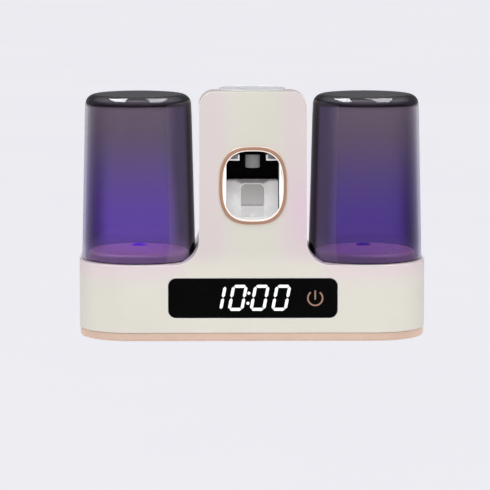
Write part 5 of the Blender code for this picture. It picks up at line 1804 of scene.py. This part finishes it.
@dataclass
class CupStation:
    """One smoked cup upside down on its lit seat, with the lamp lens and lamp board below."""

    side: Side
    rim_radius: float = 41.2 * MM
    top_radius: float = 38.3 * MM
    height: float = 119.2 * MM
    corner: float = 7.5 * MM
    cup_wall: float = 2.2 * MM
    cup_end: float = 3.0 * MM
    rise: float = 6.6 * MM
    shoulder: float = 3.0 * MM
    seat_top: float = 2.4 * MM
    seat_wall: float = 2.2 * MM
    flange: float = 3.1 * MM
    flange_top: float = -2.8 * MM
    flange_bottom: float = -4.3 * MM
    vent_circle: float = 22.0 * MM
    vent_length: float = 5.0 * MM
    vent_width: float = 2.4 * MM
    vent_lip: float = 0.3 * MM
    vent_count: int = 6
    lens_radius: float = 5.5 * MM
    lens_rise: float = 1.2 * MM
    lens_flange: float = 1.5 * MM
    light_height: float = 36.0 * MM
    light_size: float = 6.0 * MM
    light_power: float = 0.03

    @property
    def centre(self) -> tuple[float, float]:
        """Where the cup's axis stands, x and depth."""
        return self.side.value * LAYOUT.cup_x, LAYOUT.cup_depth

    def cup(self) -> None:
        """The cup's wall turned about its axis: down its outside, round the rim, up its inside."""
        foot = LAYOUT.deck + LAYOUT.gap
        slope = (self.rim_radius - self.top_radius) / self.height
        inner_corner = self.corner - self.cup_wall
        inner_top = self.height - self.cup_end
        inner_rim = self.rim_radius - self.cup_wall
        lip = 0.7 * MM
        side_top = self.height - self.corner
        outside = [(0.0, self.height), (0.5 * self.top_radius, self.height)]
        inside = [(0.5 * self.top_radius, inner_top), (0.0, inner_top)]
        walls = np.linspace(side_top, 8 * MM, 14)[1:]
        profile = np.vstack([
            outside,
            arc(self.top_radius - self.corner, side_top, self.corner, 90, 0, 14),
            np.column_stack([self.rim_radius - slope * walls, walls]),
            arc(self.rim_radius - lip, lip, lip, 0, -90, 5),
            arc(inner_rim + lip, lip, lip, -90, -180, 5),
            np.column_stack([inner_rim - slope * walls[::-1], walls[::-1]]),
            arc(self.top_radius - self.corner, inner_top - inner_corner, inner_corner, 0, 90, 10),
            inside,
        ])
        profile[:, 1] += foot
        thing = solid(turned(profile, self.centre, around=128))
        low = HOUSING_SHIFT[2] + foot
        word = self.side.label
        smoke, glow, _ = LIT[self.side]
        finish = SmokedClear(
            f"smoked_acrylic_{word}", "smoked_cup", smoke, foot=low, top=low + self.height,
            middle=self.centre[0], radius=self.rim_radius, column=-self.side.value, glow=glow,
        )
        mount(thing, f"drinking_cup_{word}", finish, f"cup_{word}", body=f"{word}_cup", angle=50.0)
        thing.visible_shadow = False

    def seat(self) -> None:
        """The seat: a turned disc on a flange, with five vents and the lamp's hole."""
        deck = LAYOUT.deck
        shoulder = self.shoulder
        outer = LAYOUT.seat_radius
        inner = outer - self.seat_wall
        rim = outer + self.flange
        under = self.rise - self.seat_top
        profile = np.vstack([
            [(0.0, self.rise)],
            arc(outer - shoulder, self.rise - shoulder, shoulder, 90, 0, 10),
            [(outer, self.flange_top), (rim, self.flange_top), (rim, self.flange_bottom)],
            [(inner, self.flange_bottom), (inner, under), (0.0, under)],
        ])
        profile[:, 1] += deck
        x, y = self.centre
        thing = solid(turned(profile, self.centre, around=128))
        half = self.vent_length / 2
        wide = self.vent_width / 2
        lip = self.vent_lip
        top = deck + self.rise
        narrow = rounded_rectangle(-wide, wide, -half, half, 0.98 * wide, 8)
        mouth = rounded_rectangle(-wide - lip, wide + lip, -half - lip, half + lip, 0.98 * wide + lip, 8)
        for index in range(1, self.vent_count):
            angle = math.radians(360 * index / self.vent_count + 90)
            turn = np.array([(math.cos(angle), math.sin(angle)), (-math.sin(angle), math.cos(angle))])
            middle = np.array([x, y]) + self.vent_circle * turn[0]
            sections = [(narrow, deck), (narrow, top - lip), (mouth, top), (mouth, top + FAR)]
            vent = [(outline @ turn + middle, z) for outline, z in sections]
            shape(thing, Cut.TAKE, loft(vent, Axis.Z))
        hole = rod(self.lens_radius + LAYOUT.gap, deck, deck + FAR, Axis.Z, x, y + self.vent_circle, 64)
        shape(thing, Cut.TAKE, hole)
        mount(thing, f"seat_{self.side.label}", SEAT, f"cup_seat_{self.side.label}", angle=30.0)

    def lamp(self) -> None:
        """The lamp's domed lens on its flange, and the violet light that it throws in the cup."""
        under = self.rise - self.seat_top - LAYOUT.gap
        base = under - self.lens_flange
        x, y = self.centre
        word = self.side.label
        dome = arc(0.0, 0.0, 1.0, 90, 0, 12) * (self.lens_radius, 0.7 * self.lens_rise)
        dome[:, 1] += self.rise + 0.3 * self.lens_rise
        rim = self.lens_radius + self.lens_flange
        profile = np.vstack([dome, [(self.lens_radius, under), (rim, under), (rim, base), (0.0, base)]])
        profile[:, 1] += LAYOUT.deck
        thing = solid(turned(profile, (x, y + self.vent_circle), around=64))
        middle = (x, y + self.vent_circle + HOUSING_SHIFT[1])
        finish = LampLens(f"lit_lamp_lens_{word}", "lamp_lens", middle=middle, strength=LIT[self.side][2])
        mount(thing, f"lamp_lens_{word}", finish, f"uv_lens_{word}")
        data = bpy.data.lights.new(f"violet_lamp_{word}", "POINT")
        data.color = linear("#A864FF")[:3]
        data.energy = self.light_power
        data.shadow_soft_size = self.light_size
        light = stand(data.name, data)
        light.location = Vector((x, y, LAYOUT.deck + self.light_height)) + SHIFT
        light.visible_camera = False
        light.visible_glossy = False
        light.visible_transmission = False
        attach(light, "housing")

    def build(self) -> None:
        """Builds the cup, its seat and its lamp, and dresses the lamp board."""
        self.cup()
        self.seat()
        self.lamp()
        dress(f"cup_uv_board_{self.side.label}", BOARD)


@dataclass
class PasteDispenser:
    """The press lever, nozzle and pump behind the window, and the socket on top."""

    lever_width: float = 37.0 * MM
    lever_depth: float = 26.5 * MM
    lever_thickness: float = 2.0 * MM
    lever_top: float = 114.0 * MM
    curve: float = 17.5 * MM
    curve_lift: float = 1.0 * MM
    corner: float = 1.2 * MM
    pivot: tuple = (10.0 * MM, 84.75 * MM)
    barrel: float = 2.5 * MM
    pin: float = 1.2 * MM
    panel_width: float = 16.4 * MM
    panel_height: float = 14.8 * MM
    panel_top: float = 3.9 * MM
    panel_corner: float = 3.4 * MM
    panel_recess: float = 0.9 * MM
    rim_rise: float = 0.3 * MM
    bump_x: float = 12.9 * MM
    bump_z: float = 101.5 * MM
    bump_radius: float = 1.5 * MM
    bump_rise: float = 0.35 * MM
    nozzle_radius: float = 5.25 * MM
    nozzle_bore: float = 2.0 * MM
    nozzle_depth: float = 19.0 * MM
    nozzle_tip: float = 123.4 * MM
    nozzle_top: float = 132.9 * MM
    socket_wall: float = 1.7 * MM
    socket_floor: float = 2.0 * MM
    bore: float = 2.5 * MM
    seal_radius: float = 9.0 * MM
    seal_thickness: float = 3.0 * MM
    pump_front: float = 35.0 * MM
    bladder_radius: float = 8.6 * MM
    bladder_cap: float = 6.0 * MM
    bladder_wall: float = 1.0 * MM
    bladder_flange: float = 1.8 * MM
    bladder_z: float = 102.6 * MM
    spring_radius: float = 4.5 * MM
    spring_wire: float = 0.3 * MM
    facing_span: tuple = (-18.0 * MM, 17.0 * MM)
    facing_reach: tuple = (18.95, 21.05)
    web_span: tuple = (130.3 * MM, 138.5 * MM)

    def panel_depth(self, x: np.ndarray, z: np.ndarray) -> np.ndarray:
        """How far the arch panel sinks the lever's face at x and height z.

        The signed distance to a rectangle with round top corners, s, gives a smooth step
        3t^2 - 2t^3 over 0.7 mm, less a raised rim exp(-(s/w)^2) just outside it and less two
        low round bumps of the same kind beside it.

        Args:
            x: Places across the lever.
            z: Heights.

        Returns:
            Depths behind the plain face.
        """
        top = self.lever_top - self.panel_top
        middle = top - self.panel_height / 2
        r = np.where(z > middle, self.panel_corner, 0.5 * MM)
        dx = np.abs(x) - (self.panel_width / 2 - r)
        dz = np.abs(z - middle) - (self.panel_height / 2 - r)
        outside = np.hypot(np.maximum(dx, 0), np.maximum(dz, 0))
        s = outside + np.minimum(np.maximum(dx, dz), 0) - r
        t = np.clip(0.5 - s / (0.7 * MM), 0, 1)
        foot = np.clip((z - (middle - self.panel_height / 2)) / (3 * MM) + 0.6, 0, 1)
        rim = self.rim_rise * np.exp(-((s - 0.5 * MM) / (0.5 * MM)) ** 2)
        beside = (np.abs(x) - self.bump_x) ** 2 + (z - self.bump_z) ** 2
        bump = self.bump_rise * np.exp(-beside / self.bump_radius ** 2)
        return (self.panel_recess * t * t * (3 - 2 * t) - rim) * foot - bump

    def lever(self) -> None:
        """The lever: at each x a closed section of face, foot, barrel and back.

        The face falls straight, then turns forward on an arc; its top corners are cut at 45
        degrees, and the panel's depth moves its points back along the face's normal.
        """
        half = self.lever_width / 2
        centre_y = self.lever_depth - self.curve
        centre_z = LAYOUT.window_z - LAYOUT.window_height / 2 + self.curve_lift + self.curve
        inner = half - self.corner
        middle = np.linspace(-inner, inner, 117)[1:-1]
        x = np.concatenate([np.linspace(-half, -inner, 7), middle, np.linspace(inner, half, 7)])
        rows = (len(x), 1)
        angle = np.radians(np.linspace(0, -84, 70))
        straight = np.linspace(0, 1, 22)[:-1]
        top = (self.lever_top - np.maximum(np.abs(x) - inner, 0))[:, None]
        down = top + (centre_z - top) * straight
        normal_y = np.hstack([np.ones_like(down), np.tile(np.cos(angle), rows)])
        normal_z = np.hstack([np.zeros_like(down), np.tile(np.sin(angle), rows)])

        def face(offset: float) -> tuple[np.ndarray, np.ndarray]:
            """Depths and heights of the face at an offset behind it, one row for each x.

            Args:
                offset: How far behind it lies.

            Returns:
                An array of depths and one of heights.
            """
            radius = self.curve + offset
            turn = np.tile(centre_z + radius * np.sin(angle), rows)
            return centre_y + radius * normal_y, np.hstack([down, turn])

        y, z = face(0.0)
        depth = self.panel_depth(x[:, None], z)
        back_y, back_z = face(self.lever_thickness)
        pivot_y, pivot_z = self.pivot
        barrel_y, barrel_z = arc(pivot_y, pivot_z, self.barrel, 150, 400, 24).T
        rows_y = np.hstack([y + depth * normal_y, np.tile(barrel_y, rows), back_y[:, ::-1]])
        rows_z = np.hstack([z + depth * normal_z, np.tile(barrel_z, rows), back_z[:, ::-1]])
        rows_x = np.broadcast_to(x[:, None], rows_y.shape)
        thing = solid(skin(np.stack([rows_x, rows_y, rows_z], -1)))
        reach = half + FAR
        shape(thing, Cut.TAKE, rod(self.pin + LAYOUT.gap, -reach, reach, Axis.X, pivot_y, pivot_z, 32))
        place = points_of(thing)
        sunk = self.panel_depth(place[:, 0], place[:, 2])
        write(thing, "relief", np.where(sunk > 0, sunk / self.panel_recess, sunk / self.rim_rise))
        finish = TranslucentScoop(
            "translucent_white_polypropylene", "white_plastic",
            top=self.lever_top + HOUSING_SHIFT[2], panel_foot=self.panel_top + self.panel_height,
        )
        mount(thing, "scoop_lever", finish, "press_lever", body="lever", angle=50.0)
        dress("lever_pin", STEEL, 0.1 * MM)

    def nozzle(self) -> None:
        """The nozzle: a turned wall with rounded lips."""
        lip = 0.4 * MM
        outer, inner = self.nozzle_radius, self.nozzle_bore
        profile = np.vstack([
            arc(inner + lip, self.nozzle_tip + lip, lip, 180, 270, 4),
            arc(outer - lip, self.nozzle_tip + lip, lip, 270, 360, 4),
            [(outer, self.nozzle_top), (inner, self.nozzle_top)],
        ])
        thing = solid(turned(profile, (0.0, self.nozzle_depth), around=64, wrap=True))
        mount(thing, "paste_nozzle", NOZZLE, "nozzle")

    def socket(self) -> None:
        """The socket on top and its soft seal, both turned."""
        low = LAYOUT.socket_bottom
        floor = low + self.socket_floor
        high = LAYOUT.body_height
        outer = LAYOUT.socket_radius
        inner = outer - self.socket_wall
        lip = self.socket_wall / 2
        profile = np.vstack([
            [(self.bore, low), (outer, low)],
            arc(outer - lip, high - lip, lip, 0, 90, 5),
            arc(inner + lip, high - lip, lip, 90, 180, 5)[1:],
            arc(inner - 1.5 * MM, floor + 1.5 * MM, 1.5 * MM, 0, -90, 6),
            [(self.bore, floor)],
        ])
        centre = (0.0, LAYOUT.socket_depth)
        mount(solid(turned(profile, centre, around=128, wrap=True)), "tube_well", WHITE, "tube_socket")
        base = floor + LAYOUT.gap
        thick = self.seal_thickness
        seal = np.vstack([
            [(self.bore, base), (self.seal_radius, base)],
            arc(self.seal_radius - 1.2 * MM, base + 0.2 * MM, 1.2 * MM, 0, 90, 5),
            arc(0.6 * self.seal_radius, base + thick - 0.8 * MM, 0.8 * MM, 70, 120, 4),
            arc(self.bore + 0.5 * MM, base + 0.5 * thick, 0.5 * MM, 90, 180, 4),
        ])
        mount(solid(turned(seal, centre, around=96, wrap=True)), "tube_seal", SEAL, "inlet_seal")

    def bellows(self) -> None:
        """The pump's bladder as a turned wall with one soft fold, and the spring inside it."""
        base = self.pump_front - LAYOUT.gap
        tip = self.lever_depth + self.lever_thickness + LAYOUT.gap
        wall = self.bladder_wall
        share = np.linspace(0, 1, 15)
        radius = self.bladder_radius + (self.bladder_cap - self.bladder_radius) * share ** 2
        fold = 0.35 * MM * np.sin(2 * math.pi * share) * (1 - share)
        place = base - wall + (tip + 0.4 * MM - base + wall) * share
        rim = self.bladder_radius + self.bladder_flange
        outside = np.column_stack([radius + np.minimum(fold, 0.0), place])
        profile = np.vstack([
            [(0.0, tip), (self.bladder_cap - 0.5 * MM, tip)],
            outside[::-1],
            [(rim, base - wall), (rim, base), (self.bladder_radius - wall, base)],
            [(self.bladder_cap - wall, tip + wall), (0.0, tip + wall)],
        ])
        thing = solid(turned(profile, (0.0, self.bladder_z), Axis.Y, 64))
        mount(thing, "bladder", BLADDER, "pump_bladder")
        place = Vector((0.0, base, self.bladder_z)) + SHIFT
        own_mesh(thing)
        start = np.array([0.0, self.pump_front + 10 * MM - LAYOUT.gap, self.bladder_z])
        end = np.array([0.0, tip + wall + LAYOUT.gap, self.bladder_z])
        thing = solid(coil(self.spring_radius, self.spring_wire, 6, start, end))
        mount(thing, "return_spring", SPRING, "lever_spring")
        place = Vector(start) + SHIFT
        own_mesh(thing)

    def facings(self) -> None:
        """The frame's two pale facings, which slope back to the lever and lean in at their tops."""
        for side in Side:
            sections = []
            for height in np.linspace(*self.facing_span, 12):
                lean = max(height, 0.0) / self.facing_span[1]
                y = (4.0 + 5.0 * lean) * MM
                inner, outer = self.facing_reach[0] * MM, (self.facing_reach[1] - 1.45 * lean) * MM
                outline = np.array([
                    (inner, y + 1.0 * MM), (inner + 0.15 * MM, y + 0.75 * MM), (outer - 0.1 * MM, y),
                    (outer, y + 0.1 * MM), (outer, y + 1.2 * MM), (inner, y + 2.0 * MM),
                ])
                sections.append((outline * (side.value, 1), LAYOUT.window_z + height))
            mount(solid(loft(sections, Axis.Z)), f"frame_facing_{side.label}", FACING, angle=50.0)

    def webs(self) -> None:
        """The webs behind the ceiling's lips, grey as painted shade: a plate whose face bows back, y = a + b
        t^2.
        """
        share = np.linspace(0, 1, 9)
        x = (10.4 + 8.3 * share) * MM
        front = (8.2 + 3.0 * share ** 2) * MM
        outline = np.vstack([np.column_stack([x, front]), np.column_stack([x, front + 1.0 * MM])[::-1]])
        for side in Side:
            thing = solid(prism(outline * (side.value, 1), *self.web_span))
            mount(thing, f"ceiling_web_{side.label}", WEB, angle=50.0)

    def build(self) -> None:
        """Builds the dispenser's smooth pieces and dresses its frame and pump."""
        self.lever()
        self.facings()
        self.webs()
        self.nozzle()
        self.socket()
        self.bellows()
        dress("dispenser_frame", WHITE, 0.5 * MM)
        dress("pump_body", PUMP, 0.4 * MM)


@dataclass
class BrushStation:
    """A brush chamber inside the tray, with its lamp board and its drying fan."""

    side: Side
    lamp_thickness: float = 1.2 * MM

    def build(self) -> None:
        """Dresses the chamber, the lamp board and the fan."""
        word = self.side.label
        dress(f"brush_chamber_{word}", CHAMBER, 0.5 * MM)
        low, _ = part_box(f"brush_uv_board_{word}")
        finish = LampBoard(f"white_lamp_board_{word}", face=low.y + self.lamp_thickness / 2)
        dress(f"brush_uv_board_{word}", finish, 0.15 * MM)
        dress(f"fan_frame_{word}", BLACK, 0.4 * MM)
        dress(f"fan_rotor_{word}", FAN, 0.2 * MM)


@dataclass
class PowerPack:
    """Two cells in their holder and the main board."""

    def build(self) -> None:
        """Dresses the cells, the holder and the board."""
        for side in Side:
            low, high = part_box(f"battery_{side.label}")
            finish = CellWrap(f"cell_sleeve_{side.label}", foot=low.z, top=high.z)
            dress(f"battery_{side.label}", finish, 0.3 * MM)
        dress("battery_holder", BLACK, 0.3 * MM)
        dress("main_board", BOARD, 0.2 * MM)


@dataclass
class Fasteners:
    """Eight pan-head screws with cross recesses, four from behind and four from below."""

    radius: float = 0.9 * MM
    length: float = 10.0 * MM
    head: float = 2.5 * MM
    head_height: float = 1.4 * MM
    recess: float = 1.5 * MM
    recess_width: float = 0.55 * MM
    thread: float = 0.8 * MM

    def screw(self, x: float, y: float, z: float, axis: Axis) -> Thing:
        """A screw whose head's underside is at a place: a domed head on a threaded shank.

        The shank's radius swings with the height as a cosine, one swing for each turn of thread.

        Args:
            x: Place across.
            y: Place in depth.
            z: Height.
            axis: Y for a screw driven from behind, Z for one driven from below.

        Returns:
            The screw, not yet mounted.
        """
        dome = arc(0.0, 0.0, 1.0, 90, 0, 8) * (self.head, self.head_height)
        tip = self.length - self.radius
        along = np.arange(0.0, tip, self.thread / 4)
        swing = self.radius - 0.12 * MM * (1 - np.cos(2 * math.pi * along / self.thread))
        shank = np.column_stack([swing, -along])
        end = [(self.radius, -tip), (0.3 * self.radius, -self.length), (0.0, -self.length)]
        profile = np.vstack([dome, shank, end])
        centre, base, outward = ((x, z), y, 1) if axis is Axis.Y else ((x, y), z, -1)
        profile[:, 1] = base + outward * profile[:, 1]
        thing = solid(turned(profile, centre, axis, 32))
        width, reach = self.recess_width / 2, self.recess
        ends = sorted((base + outward * 0.5 * self.head_height, base + outward * FAR))
        for wide, tall in ((width, reach), (reach, width)):
            cross = np.array([(-wide, -tall), (wide, -tall), (wide, tall), (-wide, tall)])
            shape(thing, Cut.TAKE, prism(cross + centre, *ends, axis))
        return thing

    def build(self) -> None:
        """Builds the screws where the CAD nodes stand."""
        for number in range(1, 5):
            low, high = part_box(f"rear_screw_{number}")
            middle = (low + high) / 2 - SHIFT
            thing = self.screw(middle.x, high.y - SHIFT.y - self.head_height, middle.z, Axis.Y)
            mount(thing, f"back_screw_{number}", STEEL, f"rear_screw_{number}")
            low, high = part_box(f"bottom_screw_{number}")
            middle = (low + high) / 2 - SHIFT
            thing = self.screw(middle.x, middle.y, low.z - SHIFT.z + self.head_height, Axis.Z)
            mount(thing, f"base_screw_{number}", STEEL, f"bottom_screw_{number}")


@dataclass
class WallMount:
    """The plate that stays on the wall, with its two hooks and adhesive pad."""

    def build(self) -> None:
        """Dresses the plate and the pad."""
        dress("wall_plate", WHITE, 0.4 * MM)
        dress("adhesive_pad", FOAM, 0.1 * MM)


@dataclass
class Studio:
    """A pale floor far below the hanging unit, soft light, and the photograph's viewpoint."""

    camera_place: tuple = (-0.0373, -2.1596, 0.2406)
    camera_turn: tuple = (math.pi / 2 - 0.1301, -0.0005, -0.0152)
    lens: float = 215.37
    floor_height: float = -2.6
    floor_reach: float = 120.0
    floor_front: float = -60.0
    floor_points: tuple = (25, 13)

    def camera(self) -> None:
        """The camera, fitted to the photograph's outline points."""
        data = bpy.data.cameras.new("photo_view")
        data.lens = self.lens
        data.sensor_width = 36.0
        data.clip_end = 500.0
        thing = stand("photo_view", data)
        thing.location = self.camera_place
        thing.rotation_euler = self.camera_turn
        bpy.context.scene.camera = thing

    def floor(self) -> None:
        """The floor: a flat grid over x and y, the same height everywhere."""
        wide, deep = self.floor_points
        across = np.linspace(-self.floor_reach, self.floor_reach, wide)
        x, y = np.meshgrid(across, np.linspace(self.floor_front, self.floor_reach, deep))
        points = np.stack([x, y, np.full_like(x, self.floor_height)], -1).reshape(-1, 3)
        first = (np.arange(deep - 1)[:, None] * wide + np.arange(wide - 1)).ravel()
        faces = np.column_stack([first, first + 1, first + wide + 1, first + wide])
        mesh = bpy.data.meshes.new("studio_floor")
        mesh.from_pydata(points.tolist(), [], faces.tolist())
        mesh.materials.append(material_of(FLOOR))
        thing = stand("studio_floor", mesh)
        thing.visible_glossy = False
        thing.visible_transmission = False

    def sky(self) -> None:
        """A pale surround: bright above and low behind the unit, dark in front of it."""
        world = bpy.data.worlds.new("studio_sky")
        world.use_nodes = True
        bpy.context.scene.world = world
        tree = world.node_tree
        where = add_node(tree, Do.PLACE, out="Generated")
        _, y, z = add_node(tree, Do.SPLIT, where).node.outputs
        above = add_node(tree, Do.STEP, z, 0.3, 0.85, 0.04, 0.9)
        horizon = add_node(tree, Do.RANGE, z, -0.03, 0.03, 0.74, 0.14)
        behind = add_node(tree, Do.STEP, y, 0.0, 0.8, 0.04, horizon)
        level = add_node(tree, Do.MOST, above, behind)
        seen = add_node(tree, Do.RAY, out="Is Camera Ray")
        backdrop = tree.nodes["Background"].inputs
        feed(tree, backdrop["Color"], "#FAFAFF")
        feed(tree, backdrop["Strength"], add_node(tree, Do.CHOOSE, seen, level, 0.95))

    def lamp(
        self, name: str, place: tuple, size: Pair, power: float, spin: float | None = None,
        mirrored: bool = False, lights: bool = True,
    ) -> None:
        """One soft rectangular light.

        Args:
            name: Its name.
            place: Where it stands, in metres.
            size: Width and height.
            power: Watts.
            spin: Its turn in degrees where it lies flat overhead; otherwise it faces the unit.
            mirrored: Whether polished surfaces mirror it.
            lights: Whether it lights matt surfaces.
        """
        data = bpy.data.lights.new(name, "AREA")
        data.shape = "RECTANGLE"
        data.size, data.size_y = size
        data.energy = power
        thing = stand(name, data)
        thing.location = place
        if spin is None:
            thing.rotation_euler = Vector(place).to_track_quat("Z", "Y").to_euler()
        else:
            thing.rotation_euler = (0.0, 0.0, math.radians(spin))
        thing.visible_glossy = mirrored
        thing.visible_transmission = False
        thing.visible_diffuse = lights
        thing.visible_camera = False

    def build(self) -> None:
        """Sets the stage."""
        self.camera()
        self.floor()
        self.sky()
        self.lamp("front_fill", (0.2, -2.6, 0.45), (2.4, 1.8), 30.0)
        self.lamp("top_light", (-0.2, -0.7, 1.6), (1.6, 1.2), 10.0)
        self.lamp("side_light_left", (-2.4, 0.2, 0.3), (1.2, 1.6), 12.0)
        self.lamp("side_light_right", (2.4, 0.2, 0.3), (1.2, 1.6), 11.0)
        self.lamp("ceiling_panel_left", (-1.153, 0.365, 2.6), (0.95, 2.3), 97.0, -14.0, True, False)
        self.lamp("ceiling_panel_right", (1.05, 0.126, 2.6), (1.15, 2.7), 71.0, 17.0, True, False)
        bpy.context.scene.view_settings.view_transform = "Standard"


def main() -> None:
    """Builds every sub-assembly in order."""
    logging.basicConfig(level=logging.INFO, format="%(name)s: %(message)s")
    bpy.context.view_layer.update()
    Studio().build()
    Housing().build()
    Foot().build()
    WindowRing().build()
    ClockDisplay().build()
    for side in Side:
        CupStation(side).build()
        BrushStation(side).build()
    PasteDispenser().build()
    PowerPack().build()
    Fasteners().build()
    WallMount().build()


if __name__ == "__main__":
    main()
